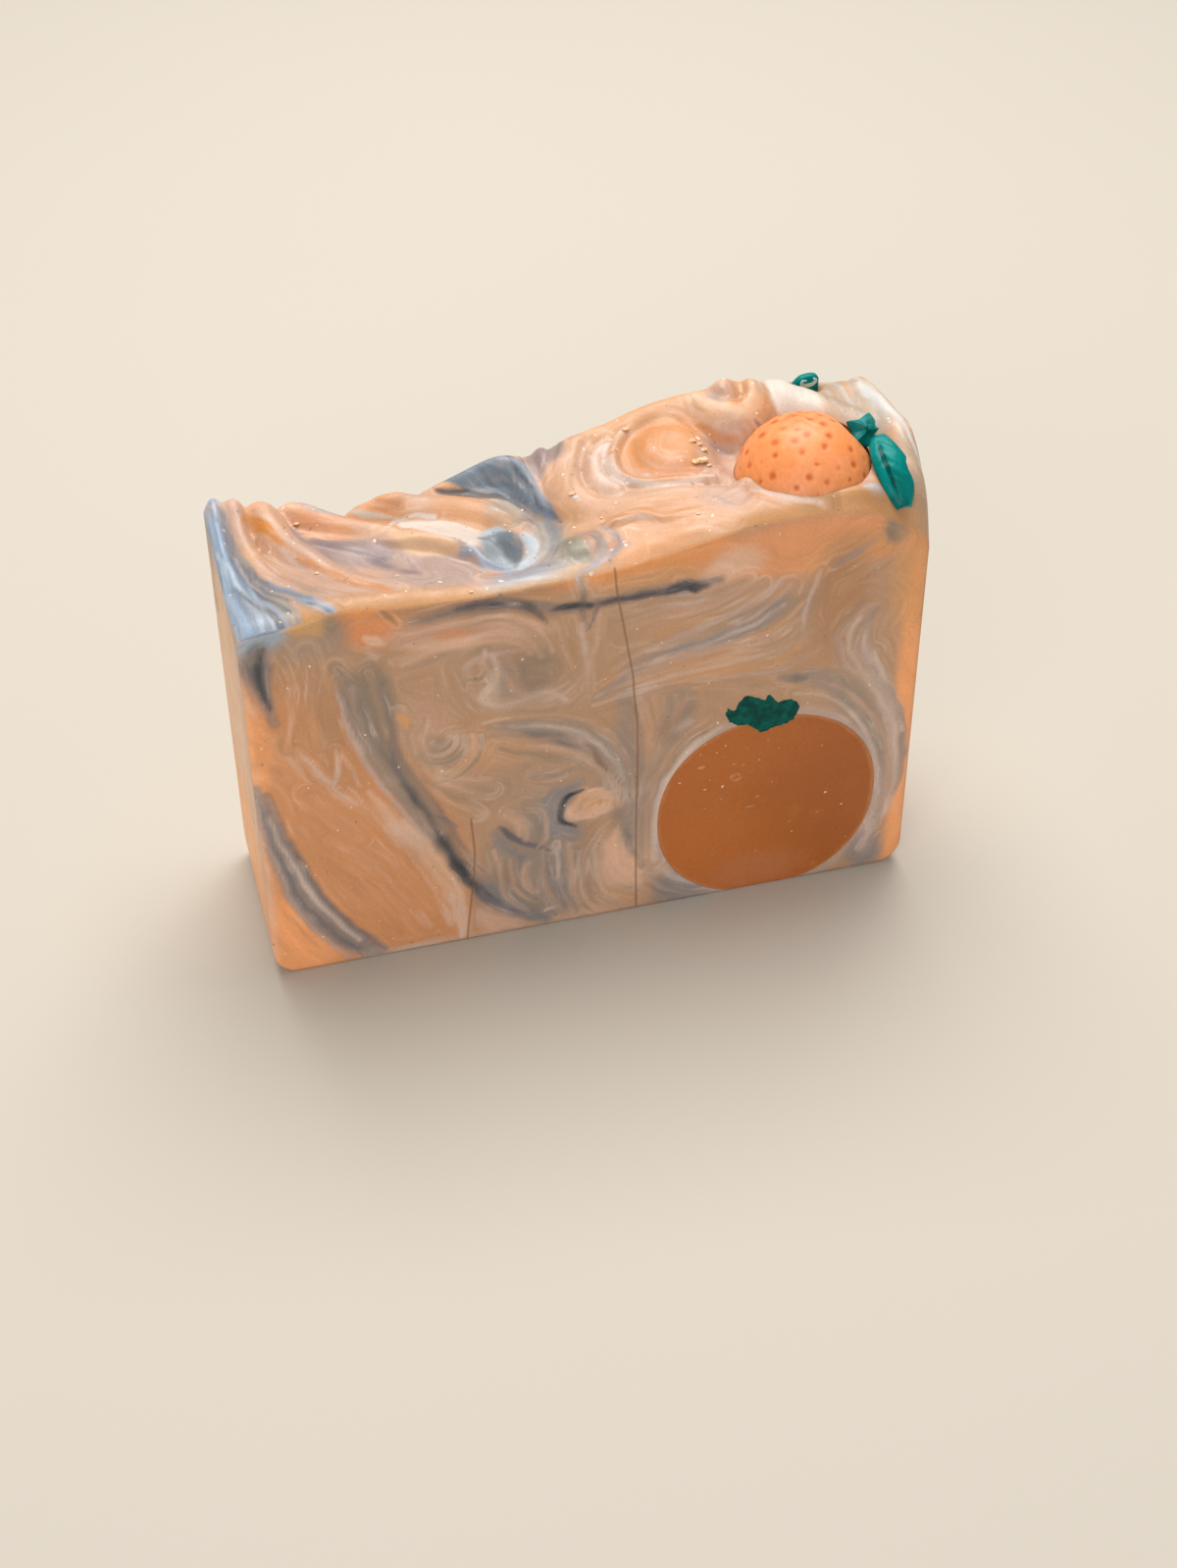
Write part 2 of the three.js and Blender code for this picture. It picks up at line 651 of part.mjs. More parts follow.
// The solids, each cut clear of its neighbours by the gap
const halfThickness = BAR_THICKNESS / 2;
const mould = solidFrom(extrudedAlongY(mouldOutline(), -halfThickness, halfThickness));
const longCut = (outline) => solidFrom(
  extrudedAlongY(outline, -halfThickness - GRID_OVERHANG, halfThickness + GRID_OVERHANG),
);
const strip = solidFrom(extrudedAlongY(STRIP_OUTLINE, -halfThickness, halfThickness));
const stripRoom = longCut(grownOutline(STRIP_OUTLINE, GAP));
const log = solidFrom(extrudedAlongY(logOutline(0), -halfThickness, halfThickness))
  .intersect(mould)
  .subtract(stripRoom);
const ball = solidFrom(ballGeometry(0, true));
const ballRoom = solidFrom(ballGeometry(GAP, false));
const calyx = calyxSolid(0).subtract(ballRoom);
const calyxRoom = calyxSolid(GAP);
const leaf = leafSolid(0).subtract(ballRoom).subtract(calyxRoom);
const backLeaf = backLeafSolid(0).intersect(mould);
const body = pouredBlock()
  .intersect(mould)
  .subtract(longCut(logOutline(GAP)))
  .subtract(stripRoom)
  .subtract(ballRoom)
  .subtract(calyxRoom)
  .subtract(leafSolid(GAP))
  .subtract(backLeafSolid(GAP));

// One named mesh for each piece
function piece(name, solid, color, roughness) {
  const material = new THREE.MeshStandardMaterial({ color, roughness, metalness: 0 });
  const mesh = new THREE.Mesh(geometryFrom(solid), material);
  mesh.name = name;
  return mesh;
}

const group = new THREE.Group();
group.add(
  piece('soap_bar', body, COLOURS.soap, 0.5),
  piece('orange_log', log, COLOURS.log, 0.5),
  piece('green_strip', strip, COLOURS.strip, 0.55),
  piece('top_orange', ball, COLOURS.ball, 0.4),
  piece('top_calyx', calyx, COLOURS.leaf, 0.35),
  piece('top_leaf', leaf, COLOURS.leaf, 0.35),
  piece('back_leaf', backLeaf, COLOURS.leaf, 0.35),
);

export default group;
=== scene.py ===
"""Looks of a hand-cut bar of swirled soap with a small soap orange set in its poured top.

Places are given in millimetres in the row frame: X along the wide cut faces, -Y the front cut face,
+Z up through the poured top. Blender's own objects are in metres.
"""

import logging
import math
from collections.abc import Iterable, Sequence
from dataclasses import dataclass, field
from enum import Enum

import bpy
import numpy as np
from mathutils import Matrix, Vector


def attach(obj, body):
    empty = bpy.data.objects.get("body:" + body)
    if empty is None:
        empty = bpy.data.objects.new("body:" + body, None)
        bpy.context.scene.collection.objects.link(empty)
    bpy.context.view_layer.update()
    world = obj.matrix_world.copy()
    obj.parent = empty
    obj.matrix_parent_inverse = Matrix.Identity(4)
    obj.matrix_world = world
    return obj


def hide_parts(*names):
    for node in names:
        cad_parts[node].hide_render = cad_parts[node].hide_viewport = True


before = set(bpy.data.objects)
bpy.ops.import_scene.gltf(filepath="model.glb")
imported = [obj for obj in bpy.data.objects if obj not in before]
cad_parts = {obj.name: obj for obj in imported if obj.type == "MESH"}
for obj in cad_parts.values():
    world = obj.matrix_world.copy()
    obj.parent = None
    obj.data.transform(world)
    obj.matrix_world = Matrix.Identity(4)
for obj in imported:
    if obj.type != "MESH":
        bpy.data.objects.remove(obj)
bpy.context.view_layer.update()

MM = 0.001
BODY = "root"
LOG = logging.getLogger("soap_bar")

Point2 = tuple[float, float]
Point3 = tuple[float, float, float]
Colour = tuple[float, float, float]


class Slot(Enum):
    """Names of the material slots."""

    SWIRLED = "swirled_soap"
    INLAY = "inlay_soap"
    GREEN_INLAY = "green_inlay_soap"
    ORANGE = "orange_soap"
    GREEN = "green_soap"


class Layer(Enum):
    """Which coat of colour a stroke lies in, from the lowest to the uppermost."""

    BAND = 0
    VEIN = 1
    LINE = 2


class Tint(Enum):
    """Colours of the soap, as sRGB from 0 to 255."""

    FIELD = (204, 142, 96)
    CORNER = (238, 162, 106)
    CREAM = (228, 184, 142)
    HONEY = (210, 150, 96)
    RIM = (218, 146, 88)
    AMBER_RIM = (198, 152, 100)
    SAND = (196, 148, 108)
    DEEP = (220, 140, 88)
    SHOULDER = (220, 150, 102)
    TAN = (180, 141, 110)
    PINK_TAN = (192, 150, 124)
    BROWN_TAN = (172, 128, 92)
    TAUPE = (162, 136, 116)
    OLIVE = (140, 122, 104)
    GREY = (148, 132, 120)
    STEEL = (128, 124, 124)
    SLATE = (98, 98, 104)
    INK = (46, 52, 62)
    BLUE_GREY = (132, 128, 130)
    LILAC = (184, 160, 150)
    FROST = (210, 186, 172)
    PEACH = (218, 174, 146)
    PALE = (202, 162, 136)
    CRACK = (128, 86, 56)
    SPECK = (226, 212, 198)
    BLUE_RIM = (152, 162, 172)
    BROWN = (142, 108, 80)
    LOG_BROWN = (172, 94, 34)
    LOG_LIGHT = (188, 108, 48)
    LOG_DARK = (154, 84, 28)
    LOG_BLOOM = (182, 114, 70)
    LOG_EDGE = (190, 122, 76)
    LOG_SPECK = (206, 150, 110)
    SIDE = (224, 178, 142)
    SIDE_ORANGE = (244, 172, 112)
    # as seen on the poured top, in its stronger light
    T_PEACH = (240, 186, 146)
    T_ORANGE = (243, 174, 118)
    T_DEEP = (232, 152, 88)
    T_SALMON = (248, 172, 120)
    T_GOLD = (216, 156, 98)
    T_PINK = (226, 182, 156)
    T_LILAC = (206, 176, 164)
    T_DUSK = (176, 152, 146)
    T_SMUDGE = (144, 122, 128)
    T_STONE = (188, 178, 166)
    T_SILVER = (162, 182, 206)
    T_SHADE = (120, 130, 146)
    # painted shade along the creases of the silver ridge
    T_CREASE_SHADE = (96, 106, 124)
    T_ICE = (206, 224, 238)
    T_MILK = (253, 234, 218)
    T_AMBER = (238, 152, 62)
    T_MICA = (134, 146, 160)
    T_MICA_DARK = (86, 82, 84)
    T_MICA_LIGHT = (176, 188, 200)
    T_CUP = (202, 210, 216)
    # painted shade inside the cup
    T_CUP_SHADE = (140, 150, 160)
    T_BUMP = (166, 158, 138)
    T_ROSE = (240, 184, 146)
    # painted light on lobes and fold crests that face the lamp
    T_PAINTED_LIGHT = (255, 208, 166)
    T_PLUM = (160, 142, 136)
    T_OLIVE = (190, 166, 130)
    # pale pink-white, painted as highlights along the crests of glossy folds
    T_CREST_HIGHLIGHT = (250, 222, 206)
    T_BLOB = (249, 170, 106)
    T_ASH = (228, 218, 204)
    T_WHITE = (240, 238, 234)
    T_SAND = (214, 184, 156)


def linear(colour: Sequence[float]) -> np.ndarray:
    """An sRGB colour from 0 to 255 as linear light.

    Args:
        colour: red, green and blue from 0 to 255.

    Returns:
        The three linear values.
    """
    c = np.asarray(colour, float) / 255
    return np.where(c <= 0.04045, c / 12.92, ((c + 0.055) / 1.055) ** 2.4)


def ease(value: np.ndarray) -> np.ndarray:
    """A smooth step from 0 to 1 over the same range."""
    t = np.clip(value, 0, 1)
    return t * t * (3 - 2 * t)


def smooth_through(places: Sequence[float], values: np.ndarray, at: np.ndarray) -> np.ndarray:
    """A smooth curve through values at rising places.

    Args:
        places: the rising places.
        values: the value at each place.
        at: where the curve is read.

    Returns:
        The curve at each of those.
    """
    xs = np.asarray(places, float)
    zs = np.asarray(values, float)
    slope = np.gradient(zs, xs) if len(xs) > 2 else np.full(len(xs), (zs[-1] - zs[0]) / (xs[-1] - xs[0]))
    i = np.clip(np.searchsorted(xs, at) - 1, 0, len(xs) - 2)
    span = xs[i + 1] - xs[i]
    t = np.clip((at - xs[i]) / span, 0, 1)
    start = (1 + 2 * t) * (1 - t) ** 2 * zs[i] + t * (1 - t) ** 2 * span * slope[i]
    end = t * t * (3 - 2 * t) * zs[i + 1] + t * t * (t - 1) * span * slope[i + 1]
    return start + end


def finer_path(points: Sequence[Sequence[float]], steps: int = 4) -> np.ndarray:
    """A path with smooth steps between its points.

    Args:
        points: the points, whose first two numbers are the place in the plane.
        steps: how many steps each stretch gets.

    Returns:
        The finer path, a row for each point.
    """
    p = np.asarray(points, float)
    lengths = np.hypot(*np.diff(p[:, :2], axis=0).T)
    places = np.concatenate([[0], np.cumsum(lengths)])
    at = np.linspace(0, places[-1], steps * (len(p) - 1) + 1)
    return np.stack([smooth_through(places, p[:, k], at) for k in range(p.shape[1])], -1)


@dataclass
class Nearest:
    """How places lie to a path: distance, side (left is positive) and share of the length."""

    distance: np.ndarray
    side: np.ndarray
    share: np.ndarray


def nearest_on(path: np.ndarray, u: np.ndarray, v: np.ndarray) -> Nearest:
    """Finds how places lie to a path.

    Args:
        path: the path, a row for each point.
        u: the places' first coordinate.
        v: the places' second coordinate.

    Returns:
        Distance, side and share of the length.
    """
    best = np.full(u.shape, 1e9)
    side = np.zeros_like(best)
    share = np.zeros_like(best)
    count = len(path) - 1
    for k in range(count):
        au, av = path[k, :2]
        du, dv = path[k + 1, :2] - path[k, :2]
        t = np.clip(((u - au) * du + (v - av) * dv) / (du * du + dv * dv + 1e-12), 0, 1)
        eu, ev = u - au - t * du, v - av - t * dv
        d = np.hypot(eu, ev)
        near = d < best
        best = np.where(near, d, best)
        side = np.where(near, du * ev - dv * eu, side)
        share = np.where(near, (k + t) / count, share)
    return Nearest(best, side, share)


def wobble(u: np.ndarray, v: np.ndarray, size: float, seed: float) -> np.ndarray:
    """A smooth random field of about -1 to 1, a sum of turned waves.

    Args:
        u: first coordinate in mm.
        v: second coordinate in mm.
        size: the waves' length in mm.
        seed: which field.

    Returns:
        The field at each place.
    """
    total = np.zeros_like(u)
    for k in range(5):
        turn = seed * 1.7 + k * 2.4
        rate = 2 * math.pi / size * (0.7 + 0.27 * k)
        bend = 1.3 * np.sin(rate * 0.45 * (v * math.cos(turn) - u * math.sin(turn)) + seed + k)
        total += np.sin(rate * (u * math.cos(turn) + v * math.sin(turn)) + bend + seed * 3.1 + k)
    return total / 3


@dataclass(frozen=True)
class Fold:
    """A fold of the pour: half widths on the left and right of its crest, its rise and its crest."""

    left: float
    right: float
    rise: float
    crest: tuple[Point3, ...]


@dataclass(frozen=True)
class Dome:
    """A dome or hollow of the pour: centre, reach along X and Y, and rise or fall."""

    x: float
    y: float
    reach_x: float
    reach_y: float
    rise: float


@dataclass
class PouredTop:
    """The poured top as a height over X and Y, on the same values as the part's source."""

    half_width: float = 44.5
    half_thickness: float = 13.0
    face_reach: float = 2.2
    face_drop: float = 1.0
    end_reach: float = 1.3
    end_drop: float = 0.8
    blend: float = 0.5
    stations: tuple[float, ...] = (
        -44.5, -42, -38, -34, -30, -24, -18, -12, -6, 0, 5, 10, 15, 20, 25, 30, 35, 40, 44.5,
    )
    rails: tuple[tuple[float, tuple[float, ...]], ...] = (
        (-13, (57.0, 57.5, 57.8, 58.8, 59.0, 58.2, 58.0, 58.0, 58.3, 58.6, 59.0, 60.0, 61.0, 62.0,
               62.2, 62.3, 61.8, 58.8, 55.5)),
        (-9, (57.4, 57.6, 57.8, 58.4, 58.5, 58.2, 57.6, 57.3, 57.8, 58.6, 59.8, 61.0, 61.9, 62.6,
              62.8, 62.9, 63.0, 62.6, 62.2)),
        (-4, (57.6, 57.2, 57.4, 57.6, 57.2, 56.6, 56.4, 56.4, 57.3, 58.8, 60.6, 61.8, 62.1, 61.8,
              61.4, 61.2, 61.6, 64.0, 66.4)),
        (2, (58.2, 57.0, 56.6, 56.6, 56.4, 56.2, 56.0, 56.0, 56.8, 59.0, 61.0, 61.8, 62.2, 62.0,
             61.6, 61.4, 62.8, 65.2, 66.0)),
        (8, (59.0, 57.6, 56.4, 56.2, 55.8, 55.2, 55.4, 56.2, 57.6, 60.0, 61.6, 62.4, 63.2, 63.4,
             63.2, 63.0, 64.6, 65.4, 64.8)),
        (13, (60.0, 59.0, 57.4, 56.8, 55.6, 54.8, 55.6, 57.2, 59.2, 60.6, 61.2, 63.0, 64.6, 65.2,
              65.4, 65.2, 65.7, 63.9, 62.6)),
    )
    folds: tuple[Fold, ...] = (
        Fold(1.5, 1.9, 2.2, ((-43.1, 13, 61), (-43.5, 8, 59.6), (-43.4, 2, 58.5), (-42.6, -4, 58.1),
            (-41.6, -9, 57.8), (-40.4, -13, 57.4))),
        Fold(1.2, 2.4, 1.3, ((-40.6, 13, 60.5), (-40.5, 8, 58.8), (-39.7, 3, 57.9), (-38, -3, 57.8),
            (-35, -8, 58.3), (-31.5, -11, 59))),
        Fold(2.2, 3, 2, ((-37.4, 13, 59.5), (-36.6, 9, 59), (-35.2, 5, 58.4), (-33, 1, 58.3),
            (-29.6, -3.5, 58.3), (-25.6, -7.5, 58.2), (-22, -9.5, 58.1))),
        Fold(1.3, 3.4, 2.4, ((-33.2, 13, 58.6), (-31.4, 11.4, 58.1), (-28.4, 9.4, 57.3), (-25, 7.6, 56.8),
            (-21.4, 5.8, 56.6))),
        Fold(2.4, 3.6, 2.2, ((-23.5, 13, 56.8), (-20, 11.5, 57.2), (-15, 10, 57.2), (-10.5, 7.6, 57.3),
            (-7.5, 4.2, 57.4), (-6.2, 0, 57.5))),
        Fold(4.5, 1.1, 1.8, ((-22.5, 3, 56.6), (-19, 1.8, 57.4), (-16, -0.2, 57.8), (-13.4, -2.8, 57.9),
            (-11.6, -6, 57.8), (-9.4, -8.4, 57.8), (-6.6, -7.6, 58), (-4.6, -4.6, 58.2),
            (-4.6, -1, 58.2))),
        Fold(4, 2.6, 3.4, ((-15.5, 13.5, 57.4), (-11, 12.8, 59.2), (-6.5, 12.2, 60.8), (-3.8, 10, 60.7),
            (-2.8, 6, 59.8), (-2, 1.5, 58.8))),
        Fold(1.3, 1.3, 1.4, ((-0.3, 13, 61.2), (-0.7, 8, 60.9), (-0.9, 4, 60))),
        Fold(1.2, 1.4, 1.2, ((2.6, 13, 61.3), (1.2, 9.5, 61.2), (0.6, 6, 60.8))),
        Fold(1.6, 3.2, 1.5, ((7, 13, 62.6), (4, 10.5, 62.4), (2.4, 6.5, 61.8), (2, 2.5, 61.2),
            (3.4, -0.8, 60.8), (7, -2.6, 61.4), (12, -3.6, 62.2), (17, -5, 62.7), (20.6, -6.6, 62.9))),
        Fold(1.3, 1.8, 1.1, ((8, 9.5, 62.9), (5.6, 6.5, 62.4), (5, 2.6, 62), (6.6, -0.4, 62))),
        Fold(4.5, 4, 2, ((8, 13, 63.2), (13, 12.8, 65), (18, 12.4, 66), (22, 12, 66.3))),
        Fold(2.4, 3, 2.6, ((20.4, 13, 66), (21.2, 10, 66.2), (22.8, 7.6, 66), (25.4, 6.6, 65.8),
            (28, 8.2, 66.2), (28.6, 12, 66.4))),
        Fold(1, 1.1, 1.2, ((11.6, 10.6, 63.8), (9, 8.2, 63.3), (7.4, 5, 62.8), (7.4, 1.6, 62.6),
            (9.4, -0.8, 62.6), (13, -1.8, 62.8), (18.5, -2.9, 63))),
        Fold(1.8, 1.6, 1.5, ((18, -7.4, 62.6), (20.6, -6.6, 63), (22.4, -5.2, 63.2), (23.6, -6.6, 63.2),
            (26, -9.4, 63.2), (30, -10.8, 63.2), (34, -10.9, 63.3), (37, -10.4, 63))),
        Fold(3.4, 4.6, 3.4, ((29.8, 13, 66.2), (31.5, 10.8, 66.4), (34.4, 7.4, 66.3), (37.3, 4.2, 66),
            (39.6, 1.6, 65.8))),
        Fold(1.4, 0.6, 0.7, ((5, -6.4, 60.9), (8.4, -6.6, 61.6), (10, -8, 61.6), (14.5, -8.6, 62))),
        Fold(2.2, 2.2, 1.6, ((42.6, 13, 64.6), (42.8, 8, 65.8), (43.2, 2, 66.4), (42.8, -4, 66.4),
            (42.4, -8, 64.4))),
    )
    domes: tuple[Dome, ...] = (
        Dome(15.0, 4.2, 4.6, 4.4, 1.5),
        Dome(-0.4, -8.0, 2.6, 2.0, 0.9),
        Dome(25.4, 10.8, 2.8, 3.4, 1.9),
        Dome(-20.6, 12.0, 2.4, 2.0, 0.6),
        Dome(40.6, 9.5, 1.8, 2.0, 0.5),
        Dome(-9.3, -3.9, 2.3, 3.0, -2.2),
        Dome(-25.0, -1.5, 6.5, 4.0, -0.8),
        Dome(-39.0, 7.0, 1.0, 3.4, -0.4),
        Dome(21.8, 2.0, 1.6, 4.5, -0.8),
        Dome(35.4, 11.2, 2.2, 1.7, -2.2),
    )

    def lie(self, x: np.ndarray, y: np.ndarray) -> np.ndarray:
        """The general lie of the top, between the rails.

        Args:
            x: places along X in mm.
            y: places along Y in mm.

        Returns:
            The height in mm.
        """
        across = np.stack([smooth_through(self.stations, z, x) for _, z in self.rails])
        ys = np.array([rail_y for rail_y, _ in self.rails], float)
        slope = np.gradient(across, ys, axis=0)
        i = np.clip(np.searchsorted(ys, y) - 1, 0, len(ys) - 2)
        span = ys[i + 1] - ys[i]
        t = np.clip((y - ys[i]) / span, 0, 1)
        low, high = i[None], i[None] + 1
        take = np.take_along_axis
        return ((1 + 2 * t) * (1 - t) ** 2 * take(across, low, 0)[0]
                + t * (1 - t) ** 2 * span * take(slope, low, 0)[0]
                + t * t * (3 - 2 * t) * take(across, high, 0)[0]
                + t * t * (t - 1) * span * take(slope, high, 0)[0])

    def height(self, x: np.ndarray, y: np.ndarray) -> np.ndarray:
        """The height of the poured top.

        Args:
            x: places along X in mm.
            y: places along Y in mm.

        Returns:
            The height in mm.
        """
        z = self.lie(x, y)
        for fold in self.folds:
            path = finer_path(fold.crest)
            near = nearest_on(path, x, y)
            crest = np.interp(near.share, np.linspace(0, 1, len(path)), path[:, 2])
            half = np.where(near.side > 0, fold.left, fold.right)
            other = crest - fold.rise * (near.distance / half) ** 2
            overlap = np.clip(self.blend - np.abs(z - other), 0, None) / self.blend
            z = np.maximum(z, other) + overlap ** 2 * self.blend / 4
        for dome in self.domes:
            away = ((x - dome.x) / dome.reach_x) ** 2 + ((y - dome.y) / dome.reach_y) ** 2
            z = z + dome.rise * np.exp(-(away ** 2))
        face = np.clip(1 - (self.half_thickness - np.abs(y)) / self.face_reach, 0, 1)
        end = np.clip(1 - (self.half_width - np.abs(x)) / self.end_reach, 0, 1)
        return z - self.face_drop * face ** 2 - self.end_drop * end ** 2


@dataclass(frozen=True)
class Patch:
    """A soft patch of colour: centre, radii and turn of its ellipse, tint, strength and softness."""

    u: float
    v: float
    reach_u: float
    reach_v: float
    tint: Tint
    strength: float = 1.0
    soft: float = 0.6
    turn: float = 0.0


@dataclass(frozen=True)
class Stroke:
    """A stroke of colour along a path. Fine streaks follow it where it is a guide."""

    tint: Tint
    widths: tuple[float, ...]
    path: tuple[Point2, ...]
    soft: float = 0.15
    strength: float = 1.0
    layer: Layer = Layer.VEIN
    guide: bool = True


@dataclass(frozen=True)
class Sheaf:
    """Strokes side by side, from a first path over to a last one."""

    tints: tuple[Tint, ...]
    count: int
    widths: tuple[float, ...]
    first: tuple[Point2, ...]
    last: tuple[Point2, ...]
    soft: float = 0.15
    strength: float = 0.8
    layer: Layer = Layer.LINE
    least_gap: float = 0.85

    def strokes(self) -> list[Stroke]:
        """The strokes of the sheaf."""
        first, last = finer_path(self.first), finer_path(self.last)
        share = np.linspace(0, 1, len(first))
        last = np.stack([np.interp(share, np.linspace(0, 1, len(last)), last[:, k]) for k in (0, 1)], -1)
        across = np.hypot(*(last - first).T).mean()
        count = max(2, min(self.count, 1 + int(across / self.least_gap)))
        made = []
        for k in range(count):
            at = k / (count - 1)
            path = first + (last - first) * (at + 0.06 * np.sin(5 * share + 2.3 * k)[:, None])
            trim = (k * 37 % 11) / 60
            keep = path[int(trim * len(path)):len(path) - int(trim * 0.7 * len(path))]
            tint = self.tints[k % len(self.tints)]
            points = tuple((float(a), float(b)) for a, b in keep[::2])
            widths = tuple(w * (0.8 + 0.9 * ((k * 29 % 7) / 6)) for w in self.widths)
            soft = self.soft * (1 + 1.2 * ((k * 23 % 5) / 4))
            made.append(Stroke(tint, widths, points, soft, self.strength, self.layer, k % 3 == 0))
        return made


@dataclass(frozen=True)
class Eye:
    """Rings about a centre, as an eye in the swirl."""

    u: float
    v: float
    reach: float
    spacing: float
    tints: tuple[Tint, ...]
    squash: float = 1.0
    turn: float = 0.0
    start: float = 0.0
    sweep: float = 360.0
    strength: float = 0.6
    shift: Point2 = (0.0, 0.0)

    def strokes(self) -> list[Stroke]:
        """The strokes of the rings."""
        made = []
        count = int(self.reach / self.spacing)
        for k in range(1, count + 1):
            radius = k * self.spacing
            angles = np.radians(self.start + np.linspace(0, self.sweep, 25))
            a, b = radius * np.cos(angles), radius * self.squash * np.sin(angles)
            turn = math.radians(self.turn)
            along = self.shift[0] * (1 - k / count), self.shift[1] * (1 - k / count)
            points = zip(self.u + along[0] + a * math.cos(turn) - b * math.sin(turn),
                         self.v + along[1] + a * math.sin(turn) + b * math.cos(turn))
            width = self.spacing * 0.26
            tint = self.tints[k % len(self.tints)]
            path = tuple((float(p), float(q)) for p, q in points)
            made.append(Stroke(tint, (width, width), path, 0.16, self.strength, Layer.LINE))
        return made


@dataclass
class Paint:
    """What is painted on one face, in the order in which it goes on."""

    patches: list[Patch] = field(default_factory=list)
    strokes: list[Stroke | Sheaf | Eye] = field(default_factory=list)

    def all_strokes(self) -> Iterable[Stroke]:
        """Every stroke, with those of the sheaves and the eyes."""
        for item in self.strokes:
            if isinstance(item, Stroke):
                yield item
            else:
                yield from item.strokes()


class Canvas:
    """The places of one face and the coats of colour that are painted on them."""

    def __init__(self, u: np.ndarray, v: np.ndarray, ground: np.ndarray, seed: float,
                 brightness: np.ndarray) -> None:
        """Starts with a ground colour.

        Args:
            u: first coordinate in mm.
            v: second coordinate in mm.
            ground: the linear ground colour.
            seed: which random field bends the strokes.
            brightness: what every tint is multiplied by at each place.
        """
        self.u = u + 0.16 * wobble(u, v, 7.0, seed)
        self.v = v + 0.16 * wobble(u, v, 7.0, seed + 5)
        self.brightness = brightness[:, None]
        self.wash = ground * self.brightness
        self.ink = {layer: self.wash.copy() for layer in Layer}
        self.load = {layer: np.full((len(u), 1), 1e-6) for layer in Layer}
        self.cover = {layer: np.full(u.shape, -8.0) for layer in Layer}
        self.flow = np.full(u.shape, 6.0)

    def patch(self, patch: Patch) -> None:
        """Lays a soft patch on the wash.

        Args:
            patch: the patch.
        """
        turn = math.radians(patch.turn)
        du, dv = self.u - patch.u, self.v - patch.v
        a = (du * math.cos(turn) + dv * math.sin(turn)) / patch.reach_u
        b = (dv * math.cos(turn) - du * math.sin(turn)) / patch.reach_v
        away = np.hypot(a, b)
        weight = (patch.strength * ease((1 + patch.soft / 2 - away) / patch.soft))[:, None]
        self.wash += weight * (linear(patch.tint.value) * self.brightness - self.wash)

    def stroke(self, stroke: Stroke, below: np.ndarray) -> None:
        """Lays a stroke in its coat.

        Args:
            stroke: the stroke.
            below: the colour under the coat at each place.
        """
        path = finer_path(stroke.path) if len(stroke.path) > 2 else np.asarray(stroke.path, float)
        margin = max(stroke.widths) + max(8 * stroke.soft, 1.5)
        low, high = path.min(0) - margin, path.max(0) + margin
        inside = (self.u > low[0]) & (self.u < high[0]) & (self.v > low[1]) & (self.v < high[1])
        if not inside.any():
            return
        near = nearest_on(path, self.u[inside], self.v[inside])
        places = np.linspace(0, 1, len(stroke.widths))
        half = np.interp(near.share, places, stroke.widths)
        cover = (half - near.distance) / stroke.soft
        self.cover[stroke.layer][inside] = np.maximum(self.cover[stroke.layer][inside], cover)
        tint = linear(stroke.tint.value) * self.brightness[inside]
        mixed = below[inside] + stroke.strength * (tint - below[inside])
        load = np.exp(1.6 * np.clip(cover, -6, 4))[:, None]
        self.ink[stroke.layer][inside] += load * mixed
        self.load[stroke.layer][inside] += load
        if stroke.guide:
            self.flow[inside] = np.minimum(self.flow[inside], near.distance)

    def paint(self, paint: Paint) -> None:
        """Paints a whole face.

        Args:
            paint: what is painted.
        """
        for patch in paint.patches:
            self.patch(patch)
        strokes = list(paint.all_strokes())
        below = self.wash
        for layer in Layer:
            self.ink[layer] = below * self.load[layer]
            for stroke in strokes:
                if stroke.layer is layer:
                    self.stroke(stroke, below)
            self.ink[layer] /= self.load[layer]
            weight = ease((self.cover[layer] + 1) / 2)[:, None]
            below = below + weight * (self.ink[layer] - below)


